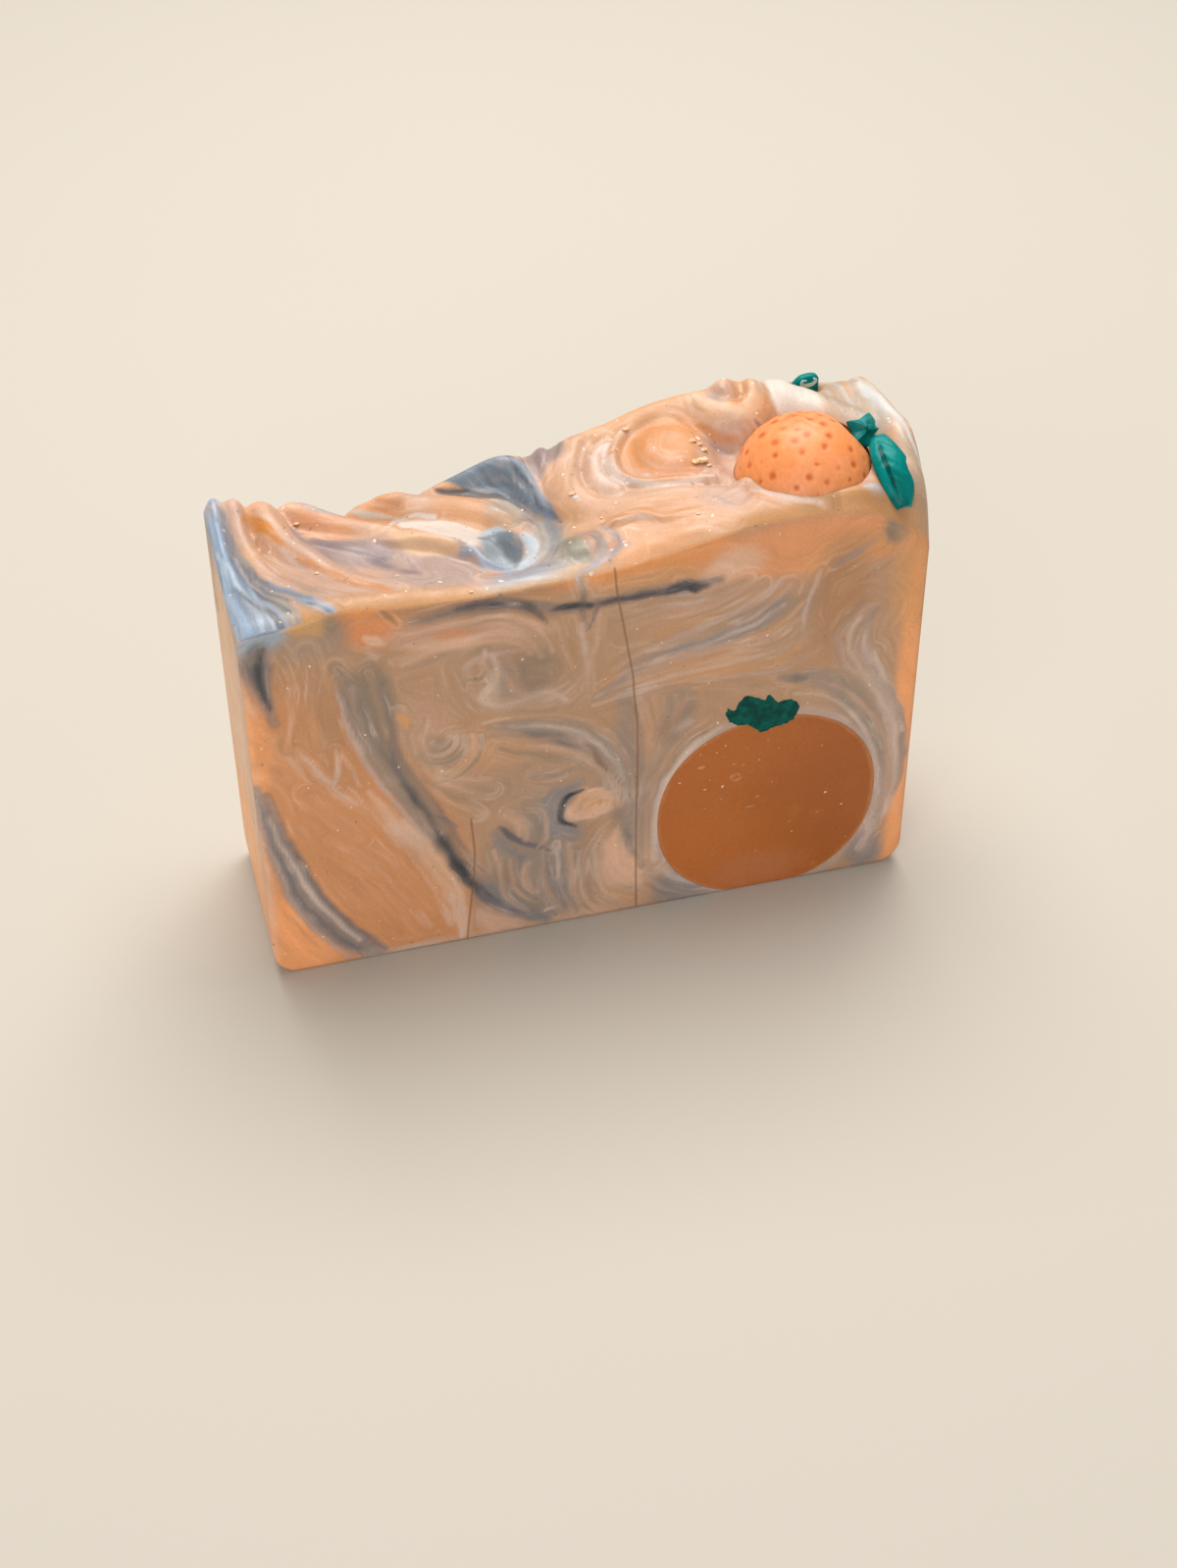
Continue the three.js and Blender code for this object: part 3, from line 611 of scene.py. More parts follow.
# Strokes of the front cut face, as places along X and Z
FRONT = Paint(
    patches=[
        Patch(-11, 27, 20, 36, Tint.TAN, 1, 0.5),
        Patch(-33, 20, 14, 30, Tint.FIELD, 1, 0.35, 20),
        Patch(-36.5, 45, 6.5, 12, Tint.BROWN_TAN, 0.6, 0.9),
        Patch(-38.8, 36, 3, 12, Tint.FIELD, 0.8, 0.9),
        Patch(-30, 8, 7, 9, Tint.FIELD, 0.6, 1, 20),
        Patch(-43, 5, 8, 9, Tint.CORNER, 1, 0.7),
        Patch(-44.3, 22, 1.8, 22, Tint.CORNER, 0.4, 0.9),
        Patch(-44.6, 26, 1.2, 26, Tint.PEACH, 0.7, 0.9),
        Patch(-43.6, 40, 2, 7, Tint.CORNER, 0.7, 0.9),
        Patch(-41.8, 57.2, 4.6, 3.4, Tint.BLUE_RIM, 1, 0.7, 6),
        Patch(-42.8, 52.6, 2, 1.6, Tint.STEEL, 0.6, 0.9),
        Patch(-35.6, 57.6, 3, 2.2, Tint.AMBER_RIM, 0.95, 0.8),
        Patch(-31.8, 56.6, 2.4, 2.6, Tint.OLIVE, 0.85, 0.9),
        Patch(-33, 53.6, 3.4, 2.4, Tint.TAUPE, 0.6, 1),
        Patch(-35.8, 56.2, 1.9, 1.6, Tint.AMBER_RIM, 0.9, 0.9),
        Patch(-36.6, 54, 3.4, 2, Tint.TAUPE, 0.7, 0.9),
        Patch(-27.8, 55.4, 3.4, 3.2, Tint.DEEP, 0.9, 1),
        Patch(-25, 58.6, 7, 2.6, Tint.RIM, 1, 0.7),
        Patch(-12, 58.6, 15, 2.8, Tint.RIM),
        Patch(-17, 58.6, 5, 1.6, Tint.DEEP, 0.35, 0.9),
        Patch(-14.6, 56.9, 12, 1.1, Tint.OLIVE, 0.6, 0.9),
        Patch(8, 58.6, 12, 3.4, Tint.RIM),
        Patch(9, 56, 8, 1.3, Tint.SAND, 0.7, 0.9),
        Patch(29, 57, 14, 4.4, Tint.SHOULDER, 1, 0.7),
        Patch(16.6, 55, 3.4, 1.9, Tint.PEACH, 0.8, 1.2, 30),
        Patch(19.2, 56.4, 3, 2.2, Tint.PEACH, 0.8, 1.2, -20),
        Patch(34, 55.4, 7, 2.2, Tint.HONEY, 0.7, 0.9, 6),
        Patch(40.2, 57.6, 2.2, 2.4, Tint.OLIVE, 0.95, 0.8),
        Patch(-28.2, 43.6, 2.6, 6.5, Tint.OLIVE, 0.95, 0.8, 6),
        Patch(-22, 38.6, 3, 5, Tint.PINK_TAN, 0.6, 0.9),
        Patch(-18, 52.6, 8.5, 1.9, Tint.PINK_TAN, 0.9, 0.8, -2),
        Patch(-19.5, 51.2, 5.2, 1.2, Tint.PEACH, 0.75, 0.9, -8),
        Patch(-17.8, 52.3, 2.6, 0.6, Tint.DEEP, 0.95, 0.9, -3),
        Patch(-9, 51.6, 4.6, 1.4, Tint.PEACH, 0.55, 0.9, -12),
        Patch(-7.6, 44.4, 3, 3.8, Tint.OLIVE, 0.7, 0.9),
        Patch(-20.6, 33.8, 2.8, 2.8, Tint.OLIVE, 0.6, 0.9),
        Patch(-13, 33, 4, 5, Tint.SAND, 0.45, 0.9),
        Patch(-8, 26, 9, 4, Tint.TAUPE, 0.5, 0.9),
        Patch(-8, 8.5, 8, 9, Tint.GREY, 0.85, 0.8),
        Patch(-6.4, 18.4, 4.6, 5.6, Tint.GREY, 0.8, 0.9),
        Patch(-12.4, 16, 3, 4, Tint.TAUPE, 0.6, 0.9),
        Patch(-13.6, 3, 3.6, 2.6, Tint.PALE, 0.9, 0.8, -20),
        Patch(-9, 0.4, 10, 1.2, Tint.PALE, 0.7, 0.9),
        Patch(4.6, 25, 2.4, 12, Tint.GREY, 0.75, 0.9),
        Patch(4, 7, 4.6, 7, Tint.PALE, 0.5, 0.9),
        Patch(20, 46.4, 10, 2.2, Tint.GREY, 0.65, 0.9, 10),
        Patch(6, 38.8, 4, 2.4, Tint.GREY, 0.6, 0.9),
        Patch(13, 40.6, 9, 1.7, Tint.HONEY, 0.55, 0.9),
        Patch(12, 47.6, 6, 2.2, Tint.SAND, 0.5, 0.9),
        Patch(18, 51, 9, 1.8, Tint.PINK_TAN, 0.6, 0.9),
        Patch(33, 47.5, 3.6, 9, Tint.BROWN_TAN, 0.9, 0.9),
        Patch(31, 39.6, 5, 2.6, Tint.BROWN_TAN, 0.5, 0.9),
        Patch(11.2, 33, 2.4, 4.6, Tint.GREY, 0.75, 0.9, -10),
        Patch(7.6, 33, 2, 7, Tint.PINK_TAN, 0.6, 0.9),
        Patch(24.2, 14.9, 17, 16.9, Tint.LILAC, 0.7, 0.12),
        Patch(38.2, 26, 3.6, 10, Tint.TAUPE, 0.85, 0.8, 28),
        Patch(12.4, 2.4, 4, 3.4, Tint.BLUE_GREY, 0.8, 0.9),
        Patch(43.9, 25, 2.4, 38, Tint.CORNER, 1, 0.7),
        Patch(42.8, 50, 3, 10, Tint.HONEY, 0.7, 0.9),
        Patch(39, 3, 2.4, 3.2, Tint.BLUE_GREY, 0.75, 0.9),
        Patch(-24.5, 0.4, 7, 1, Tint.PALE, 0.8, 0.9),
    ],
    strokes=[
        # broad bands
        Stroke(Tint.STEEL, (0.5, 1.2, 1.8, 2, 1.9, 1.2), ((-44.2, 33), (-43.2, 27), (-41.8, 21),
            (-39.4, 13), (-36.6, 7.6), (-33.4, 3.4), (-30.4, 0)), 0.7, 0.85, Layer.BAND),
        Stroke(Tint.OLIVE, (0.8, 2, 2.2, 2, 1.7, 1.4, 1), ((-32.6, 50), (-29.8, 44.6), (-28.6, 38.6),
            (-26.6, 32), (-23.6, 25.6), (-20, 17), (-17, 10.6)), 0.9, 0.9, Layer.BAND),
        Stroke(Tint.PEACH, (0.3, 1.1, 1.5, 1.3, 0.8), ((-30, 29.4), (-27.4, 24.4), (-23.6, 18.4),
            (-20.6, 12.6), (-18.9, 7.6), (-18.4, 1)), 0.7, 0.75, Layer.BAND),
        Stroke(Tint.STEEL, (0.6, 1.3, 1.5, 1.3, 0.7), ((-17.4, 12), (-15.6, 9.2), (-13.2, 6.2),
            (-10.2, 3.4), (-7, 1.4)), 0.7, 0.9, Layer.BAND),
        Stroke(Tint.GREY, (0.4, 1.6, 2.2, 2, 1.6, 1.2), ((-13.6, 36.8), (-7.6, 35), (-2.6, 32.6), (1, 29),
            (3, 24), (4.2, 18), (5, 11)), 0.9, 0.9, Layer.BAND),
        Stroke(Tint.SLATE, (0.3, 0.8, 0.9, 0.7, 0.6), ((-22.8, 55.1), (-18, 55.7), (-13, 55.8),
            (-9.2, 55), (-5, 53.6), (-0.6, 53.4)), 0.7, 0.7, Layer.BAND),
        Stroke(Tint.SLATE, (0.5, 0.6, 0.7, 1, 0.4), ((-0.6, 53.4), (4, 53.6), (8, 53.7), (13, 53.8),
            (16.6, 54)), 0.7, 0.7, Layer.BAND),
        Stroke(Tint.BLUE_GREY, (0.3, 1, 1.1, 1.2, 0.7, 0.2), ((0.6, 38.6), (4, 41.4), (9, 43.4),
            (16, 44.6), (22, 46.4), (25.6, 50)), 0.8, 0.75, Layer.BAND),
        Stroke(Tint.BLUE_GREY, (0.6, 1.7, 1.6, 0.7), ((-2, 24.6), (-5.6, 22.2), (-5.9, 18), (-2.6, 16)),
            0.9, 0.8, Layer.BAND),
        Stroke(Tint.PEACH, (1.6, 2.5, 2.7, 2.1, 1.3), ((-2.6, 19.6), (-1.2, 20.2), (0.4, 20.7),
            (1.8, 20.5), (3.2, 20)), 0.45, 0.95, Layer.BAND),
        Stroke(Tint.PEACH, (0.3, 1.4, 2.5, 2.6, 1.2), ((3.3, 16), (2.5, 13.4), (2.8, 10.2), (4, 7),
            (6, 5)), 0.5, 0.95, Layer.LINE),
        Stroke(Tint.FROST, (0.3, 0.7, 0.8, 0.3), ((1.4, 13.6), (1.3, 10.4), (2.3, 7.4), (4.6, 4.8)), 0.6,
            0.8, Layer.LINE),
        Stroke(Tint.HONEY, (0.15, 0.4, 0.4, 0.15), ((2.6, 14.8), (2.3, 11.4), (3.2, 8.6), (5.4, 6.6)),
            0.35, 0.8, Layer.LINE),
        Stroke(Tint.TAUPE, (0.15, 0.35, 0.3, 0.15), ((1.2, 15.2), (-0.2, 11.6), (0.2, 7.8), (2.2, 4.2)),
            0.4, 0.8, Layer.LINE),
        Stroke(Tint.LILAC, (0.4, 1.1, 1.4, 1.5, 1.2, 0.8), ((37.2, 45.6), (36.4, 40.6), (38.4, 35),
            (41, 29), (42.4, 22), (41.6, 13), (38.6, 3.6)), 0.8, 0.8, Layer.BAND),
        Stroke(Tint.GREY, (0.3, 1.3, 1.6, 1.6, 1.2), ((25, 36.6), (30, 36), (34.4, 32.6), (38, 27),
            (40.4, 21)), 0.9, 0.75, Layer.BAND),
        Stroke(Tint.FROST, (0.3, 0.5, 0.6, 0.5, 0.3), ((8.2, 8.6), (8.2, 14.6), (9.7, 21.8), (13.2, 27.2),
            (17.2, 29.9)), 0.5, 0.8, Layer.BAND),
        Stroke(Tint.GREY, (0.4, 1, 1.2, 0.6), ((6.6, 8), (6, 15), (7.2, 23), (10.6, 30)), 0.8, 0.6,
            Layer.BAND),
        Stroke(Tint.LILAC, (0.3, 0.5, 0.5, 0.3), ((28.6, 30.2), (33.4, 28.2), (37.9, 23), (39.8, 16),
            (39, 8)), 0.5, 0.7, Layer.BAND),
        Stroke(Tint.SLATE, (1, 1.7, 1, 0.5, 0.2), ((-42, 54.6), (-42.4, 52), (-42, 48.4), (-41.4, 45.4),
            (-40.9, 43)), 0.9, 0.9, Layer.BAND),
        Stroke(Tint.FROST, (0.8, 1.2, 0.6), ((-1.4, 60.2), (-1.4, 58.4), (-1.4, 56.6)), 0.7, 0.7,
            Layer.BAND),
        # veins
        Stroke(Tint.INK, (0.4, 1.1, 0.8, 1.4, 1, 0.5), ((-21.8, 21.6), (-20.8, 19.2), (-19.9, 17),
            (-18.7, 13.8), (-17.6, 11), (-16.4, 8.8)), 0.5, 1, Layer.LINE),
        Stroke(Tint.INK, (0.3, 0.9, 0.7, 0.4), ((-41.4, 54.6), (-42, 52.2), (-42, 49), (-41.2, 45.6)),
            0.6, 0.8, Layer.LINE),
        Stroke(Tint.INK, (0.3, 0.65, 0.5, 0.3), ((-25.5, 29.6), (-24.2, 26.8), (-22.8, 24.4),
            (-21.8, 22)), 0.4, 0.9, Layer.LINE),
        Stroke(Tint.SLATE, (0.1, 0.4, 0.2), ((-22.3, 23.6), (-20.4, 22.6), (-18.8, 20.8)), 0.3, 0.7),
        Stroke(Tint.SLATE, (0.3, 0.6, 0.6, 0.4), ((-26.9, 37.4), (-26.2, 33), (-25.2, 29.8), (-23.6, 26)),
            0.4, 0.85, Layer.LINE),
        Stroke(Tint.SLATE, (0.3, 0.7, 0.6, 0.3), ((-16.6, 9), (-15, 6.6), (-12.6, 4.6), (-10, 3)), 0.5,
            0.8, Layer.LINE),
        Stroke(Tint.SLATE, (0.15, 0.45, 0.35, 0.15), ((-32.6, 47), (-31.6, 43), (-30.8, 39.4),
            (-29.6, 36)), 0.35, 0.7),
        Stroke(Tint.LILAC, (0.15, 0.4, 0.4, 0.3, 0.3, 0.2), ((-33.2, 47.6), (-32.4, 43.6), (-31.6, 39),
            (-30, 34.2), (-27.4, 28.4), (-24.6, 23.2), (-21.6, 17)), 0.3, 0.85),
        Stroke(Tint.INK, (0.2, 0.5, 0.6, 0.6, 0.5, 0.25), ((-17.2, 56), (-13.6, 56), (-10.4, 55.5),
            (-8.6, 54.8), (-7.2, 53.6), (-6.2, 51.8)), 0.5, 0.7),
        Stroke(Tint.INK, (0.2, 0.55, 0.5, 0.4), ((-5.4, 53.4), (-3.4, 53.7), (-1.6, 53.5), (-0.4, 53.2)),
            0.3, 0.9),
        Stroke(Tint.INK, (0.3, 0.5, 0.4, 0.6, 1.15, 0.4), ((0.6, 53.3), (4, 53.5), (7.6, 53.5),
            (10.4, 53.7), (12.6, 53.8), (14.6, 53.3)), 0.5, 0.8),
        Stroke(Tint.INK, (0.15, 0.5, 0.4), ((11.2, 54.8), (12.6, 53.6), (13.4, 52.8)), 0.25, 0.95),
        Stroke(Tint.SLATE, (0.15, 0.35, 0.15), ((0.8, 53.6), (0.2, 52.2), (-0.6, 49.4)), 0.35, 0.7),
        Stroke(Tint.SLATE, (0.2, 0.4, 0.35, 0.15), ((-1.6, 58.6), (-1.4, 55.6), (-1.4, 53), (-1, 49.8)),
            0.4, 0.6),
        Stroke(Tint.FROST, (0.1, 0.3, 0.1), ((-2.4, 60), (-2, 57.6), (-1.4, 55.4)), 0.3, 0.7),
        Stroke(Tint.SLATE, (0.1, 0.5, 0.8, 0.7, 0.4), ((-9.4, 35), (-6.4, 33.6), (-3.8, 32.2), (-1.6, 31),
            (0.2, 29.4)), 0.4, 0.9),
        Stroke(Tint.INK, (0.15, 0.45, 0.4, 0.15), ((-1.2, 30.9), (0, 29.4), (0.9, 27.6), (1.6, 26)),
            0.28),
        Stroke(Tint.FROST, (0.1, 0.3, 0.12), ((-3.4, 32.6), (-2.2, 31.9), (-1, 30.8)), 0.2, 0.8),
        Stroke(Tint.INK, (0.12, 0.4, 0.5, 0.4, 0.15), ((-1.4, 23.5), (-3.5, 22.6), (-4.7, 20.6),
            (-4.5, 18.4), (-2.6, 17)), 0.3),
        Stroke(Tint.SLATE, (0.25, 0.6, 0.5, 0.35, 0.15), ((-12.9, 19.4), (-11.6, 17.4), (-10, 16),
            (-8.2, 14.8), (-6, 13.6)), 0.35, 0.95),
        Stroke(Tint.INK, (0.15, 0.35, 0.12), ((-12.6, 19.2), (-11.6, 17.4), (-9.8, 15.9)), 0.25, 0.8),
        Stroke(Tint.STEEL, (0.3, 0.9, 0.6, 0.2), ((-13.6, 18.6), (-12.6, 15.8), (-10.4, 13.6),
            (-8.6, 12.6)), 0.6, 0.75),
        Stroke(Tint.SLATE, (0.15, 0.5, 0.5, 0.15), ((-6.6, 12.4), (-5.8, 8.6), (-4.8, 5.6), (-4.3, 2.6)),
            0.5, 0.8),
        Stroke(Tint.SLATE, (0.1, 0.4, 0.15), ((-3, 12), (-3.4, 8.6), (-3, 5.2)), 0.5, 0.6),
        Stroke(Tint.INK, (0.15, 0.3, 0.1), ((-16.6, 10.4), (-14.6, 7.4), (-12.6, 5.2)), 0.35, 0.75),
        Stroke(Tint.BROWN, (0.2, 0.6, 0.3), ((-12.4, 13.4), (-12.2, 10.4), (-10.6, 8)), 0.5, 0.7),
        Stroke(Tint.BLUE_GREY, (0.2, 0.6, 0.3), ((31.6, 53.6), (34, 54.6), (37, 56.4)), 0.6, 0.6),
        Stroke(Tint.SLATE, (0.2, 0.7, 0.3), ((25.8, 36.4), (27, 36.2), (28.6, 36)), 0.6, 0.6),
        Stroke(Tint.SLATE, (0.2, 0.6, 0.2), ((-8, 27.2), (-5.4, 26.8), (-3, 27.2)), 0.8, 0.4),
        Stroke(Tint.SLATE, (0.1, 0.4, 0.15), ((2.6, 16.4), (3.9, 15), (5, 13.2)), 0.4, 0.7),
        Stroke(Tint.SLATE, (0.2, 0.7, 0.2), ((16.6, 45.8), (20.4, 47), (24, 49)), 0.6, 0.55),
        Stroke(Tint.STEEL, (0.3, 0.9, 0.6), ((8.6, 4), (11.4, 1.8), (15.6, 0.6)), 0.6, 0.7),
        Stroke(Tint.BROWN, (0.15, 0.35, 0.15), ((-28, 59.4), (-26.4, 57.6), (-24.8, 55)), 0.3, 0.7),
        Stroke(Tint.HONEY, (0.15, 0.7, 0.2), ((-25.4, 41.4), (-24.8, 40), (-24.4, 38.6)), 0.4, 0.9),
        Stroke(Tint.PEACH, (0.4, 1, 0.4), ((-28.8, 54), (-27.8, 53.3), (-26.8, 52.6)), 0.5, 0.9,
            Layer.LINE),
        Stroke(Tint.BROWN, (0.2, 0.7, 0.25), ((9.6, 33), (9.8, 31.2), (9.3, 30)), 0.6, 0.5),
        Stroke(Tint.HONEY, (0.15, 0.35, 0.15), ((-1.4, 19.6), (0.2, 20.6), (2.2, 20.8)), 0.3, 0.7),
        Stroke(Tint.HONEY, (0.12, 0.3, 0.12), ((-2.4, 20.8), (-1.2, 21.8), (0.6, 22.2)), 0.25, 0.6),
        # sheaves of fine lines
        Sheaf((Tint.LILAC, Tint.SLATE, Tint.FROST, Tint.SLATE, Tint.BLUE_GREY, Tint.SLATE, Tint.FROST), 7,
            (0.22, 0.38, 0.42, 0.35), ((-44.6, 31), (-43.8, 25), (-42.6, 18.6), (-40.4, 10.8),
            (-37.4, 5.4), (-33.6, 0.4)), ((-42.9, 31.6), (-41.8, 26), (-40, 20.4), (-37.2, 12.8),
            (-33.8, 7.2), (-29.4, 1.4)), 0.28),
        Sheaf((Tint.PEACH, Tint.FIELD, Tint.PALE, Tint.PEACH, Tint.SAND), 9, (0.2, 0.35, 0.35, 0.22),
            ((-32.6, 31), (-29, 24), (-25.4, 17.4), (-22.2, 10.4), (-20, 3.4)), ((-26.8, 26.4),
            (-24.4, 21.4), (-21.8, 16.2), (-19.4, 10), (-17.9, 2.4)), 0.3, 0.65),
        Sheaf((Tint.GREY, Tint.LILAC, Tint.SLATE, Tint.TAN, Tint.SLATE), 9, (0.22, 0.4, 0.4, 0.25),
            ((-33, 48.6), (-31.6, 41), (-29.6, 34.6), (-25.8, 27.4), (-21.4, 18), (-16.8, 9.4)),
            ((-27.6, 48.6), (-26.4, 41), (-25.6, 35), (-22.4, 28), (-18.8, 18.4), (-14.8, 10.4)), 0.35,
            0.55),
        Sheaf((Tint.PALE, Tint.TAUPE, Tint.SAND), 7, (0.22, 0.4, 0.24), ((-39.6, 54), (-38.6, 49),
            (-38.8, 44), (-39.4, 38.6)), ((-34.2, 53), (-34.4, 48), (-34, 43), (-33, 38)), 0.5, 0.3),
        Stroke(Tint.PEACH, (0.15, 0.55, 0.7, 0.5, 0.15), ((-38.6, 38.4), (-36.8, 35.4), (-34.8, 31.6),
            (-32.4, 28.2), (-29.6, 25.6)), 0.6, 0.6, Layer.LINE),
        Stroke(Tint.FROST, (0.08, 0.22, 0.25, 0.1), ((-38.4, 37.6), (-36.4, 34.2), (-34.4, 31),
            (-31.4, 27.4)), 0.25, 0.6, Layer.LINE),
        Stroke(Tint.FROST, (0.1, 0.35, 0.45, 0.1), ((-33.8, 37.4), (-33.4, 35), (-33.9, 32.6),
            (-34.4, 30.6)), 0.35, 0.6, Layer.LINE),
        Stroke(Tint.PEACH, (0.1, 0.3, 0.12), ((-33, 36.6), (-31.8, 33.6), (-31, 30.6)), 0.4, 0.6,
            Layer.LINE),
        Stroke(Tint.PALE, (0.1, 0.25, 0.1), ((-37.6, 31), (-34.6, 26), (-31.6, 21.6)), 0.4, 0.45,
            Layer.LINE),
        Stroke(Tint.PALE, (0.1, 0.25, 0.2, 0.1), ((-35, 22), (-30.6, 17.4), (-26.6, 10.6), (-23.4, 4)),
            0.4, 0.4, Layer.LINE),
        Stroke(Tint.LILAC, (0.12, 0.35, 0.12), ((-40.6, 54), (-41.4, 50.6), (-41, 46)), 0.35, 0.8,
            Layer.LINE),
        Stroke(Tint.LILAC, (0.12, 0.3, 0.12), ((-43.9, 53.6), (-43.4, 49), (-42.2, 44.6)), 0.35, 0.6,
            Layer.LINE),
        Eye(-20.4, 34.8, 5.6, 1.1, (Tint.SAND, Tint.OLIVE, Tint.PALE, Tint.GREY), 1.05, 10, 190, 170, 0.6,
            (0.2, 1.6)),
        Sheaf((Tint.PALE, Tint.OLIVE, Tint.PEACH, Tint.TAUPE), 8, (0.22, 0.4, 0.4, 0.24), ((-25.6, 40.6),
            (-24.8, 35), (-23.4, 30.4), (-19.8, 26), (-15.6, 22.6)), ((-21.4, 39.6), (-22.2, 35.4),
            (-21, 31.4), (-17.4, 28.6), (-13, 27.4)), 0.35, 0.6),
        Stroke(Tint.FROST, (0.3, 0.5, 0.7, 0.6, 0.5, 0.3), ((-13.2, 48), (-12.5, 45.8), (-12.9, 43.8),
            (-14.6, 41.8), (-13, 40.2), (-9.6, 40), (-5.8, 40.6), (-3.5, 38.9)), 0.5, 0.8, Layer.LINE),
        Stroke(Tint.STEEL, (0.3, 0.6, 0.6, 0.3), ((-11.8, 47), (-11.4, 44.6), (-12.4, 42.4), (-11, 41.4),
            (-7.4, 41.8)), 0.5, 0.7, Layer.LINE),
        Stroke(Tint.LILAC, (0.2, 0.4, 0.4, 0.2), ((-17.2, 45), (-16.2, 47.2), (-14.4, 48), (-12, 48),
            (-9.4, 48.2)), 0.4, 0.7, Layer.LINE),
        Stroke(Tint.OLIVE, (0.2, 0.5, 0.3), ((-16.4, 44.8), (-14.8, 44.6), (-13.8, 45.8)), 0.5, 0.7,
            Layer.LINE),
        Sheaf((Tint.OLIVE, Tint.PALE, Tint.TAUPE, Tint.FROST), 8, (0.22, 0.4, 0.4, 0.24), ((-17.6, 47),
            (-17, 43), (-14.8, 39.6), (-10, 38.6), (-5, 38), (-1.6, 40)), ((-11.4, 47.6), (-10.4, 44.6),
            (-9.6, 42), (-7.4, 40.8), (-4, 41.6), (-1.8, 44.6)), 0.35, 0.55),
        Sheaf((Tint.PEACH, Tint.TAUPE, Tint.PINK_TAN, Tint.PALE), 8, (0.22, 0.42, 0.4, 0.22),
            ((-26, 53.4), (-20, 53.8), (-13, 54.2), (-8.6, 52.6), (-5.4, 47)), ((-25.6, 47.6),
            (-21, 48.8), (-15, 49.6), (-9.6, 48.6), (-7.6, 46.4)), 0.35, 0.6),
        Sheaf((Tint.PALE, Tint.BROWN_TAN, Tint.FROST), 6, (0.22, 0.38, 0.24), ((-5, 51.6), (-4, 47),
            (-2.6, 43.6), (-1.4, 40)), ((0.6, 51.6), (0.2, 47), (-0.4, 43.6), (-0.8, 40)), 0.35, 0.6),
        Sheaf((Tint.PALE, Tint.OLIVE, Tint.FROST, Tint.GREY, Tint.TAN), 11, (0.22, 0.4, 0.42, 0.25),
            ((-14.6, 37.6), (-8, 37.6), (-2.6, 36.2), (1.6, 32.6), (4.4, 26), (5.8, 18)), ((-12.6, 33),
            (-6.6, 30.6), (-2.2, 28.6), (0.6, 25.4), (2.6, 21.6), (4, 14.6)), 0.35, 0.6),
        Sheaf((Tint.PALE, Tint.OLIVE, Tint.GREY, Tint.PEACH), 7, (0.22, 0.4, 0.4, 0.22), ((-9.4, 22),
            (-7.4, 21.4), (-6.4, 18.8), (-7, 16), (-8.2, 14.6)), ((-12.4, 21.6), (-11, 19.8),
            (-10.4, 18.4), (-10.2, 17.6), (-10, 17)), 0.3, 0.7),
        Eye(-0.2, 20.6, 2.9, 0.72, (Tint.PALE, Tint.HONEY, Tint.TAUPE), 0.72, 4, -30, 230, 0.5,
            (-0.8, -0.2)),
        Sheaf((Tint.PEACH, Tint.GREY, Tint.PALE, Tint.SLATE), 8, (0.22, 0.4, 0.4, 0.25), ((-13.8, 15.4),
            (-13.4, 11), (-12.6, 7), (-9.6, 3.6)), ((-9, 12.8), (-9.8, 10.4), (-9.6, 8), (-7.6, 6)), 0.35,
            0.6),
        Sheaf((Tint.STEEL, Tint.PALE, Tint.SLATE, Tint.LILAC), 7, (0.22, 0.4, 0.4, 0.25), ((-8.4, 13.4),
            (-8, 9.4), (-7, 5.4), (-5.4, 1.6)), ((-3.4, 15.6), (-3.6, 11), (-3.4, 6.6), (-1.8, 2)), 0.35,
            0.6),
        Sheaf((Tint.PALE, Tint.TAUPE, Tint.FROST, Tint.HONEY, Tint.GREY), 12, (0.2, 0.4, 0.42, 0.26),
            ((2.2, 17), (-0.6, 14.4), (-1.9, 10.6), (-1.9, 6.4), (-0.4, 2.6), (2.4, 0.4)), ((3.6, 15.8),
            (3.6, 13), (4, 10.4), (5, 8), (6.6, 6.4), (9.6, 5)), 0.3, 0.75),
        Sheaf((Tint.LILAC, Tint.HONEY, Tint.FROST, Tint.TAUPE, Tint.PALE), 12, (0.2, 0.38, 0.4, 0.22),
            ((0, 37.4), (5.2, 37.8), (11, 38.4), (18, 38.2), (25.6, 38.6), (30, 41)), ((1.4, 41.6),
            (5.6, 44.8), (11, 46), (17, 47.6), (22.6, 49.8), (26.6, 53.4)), 0.32, 0.6),
        Sheaf((Tint.TAUPE, Tint.PALE, Tint.LILAC), 6, (0.22, 0.4, 0.24), ((3.6, 47.6), (9.6, 48.4),
            (16, 49.6), (22, 52.4)), ((3, 51.6), (9.6, 52), (15, 52), (20, 53.4)), 0.4, 0.45),
        Stroke(Tint.LILAC, (0.15, 0.3, 0.3, 0.15), ((30, 53), (28.6, 49), (28, 45), (28.3, 41.6)), 0.3,
            0.7, Layer.LINE),
        Sheaf((Tint.TAUPE, Tint.LILAC, Tint.FROST), 6, (0.22, 0.4, 0.4, 0.25), ((36, 47), (33.6, 44.4),
            (32.4, 41.4), (33.4, 37.4), (36.4, 33)), ((38, 45.4), (36, 43), (35.4, 40.4), (36.4, 37),
            (39, 33)), 0.35, 0.7),
        Sheaf((Tint.FROST, Tint.GREY, Tint.PALE, Tint.TAUPE), 11, (0.2, 0.4, 0.42, 0.26), ((27.4, 33.6),
            (31.6, 32), (35.4, 28), (38.6, 22.4), (40.4, 15), (39.4, 7)), ((33.4, 38.4), (37, 36.6),
            (40.4, 31.6), (42.6, 25), (43.2, 17), (41.6, 7.6)), 0.3, 0.65),
        Stroke(Tint.FROST, (0.12, 0.3, 0.3, 0.15), ((38, 38.4), (39.4, 34), (41.4, 29.6), (43.2, 24)),
            0.3, 0.75, Layer.LINE),
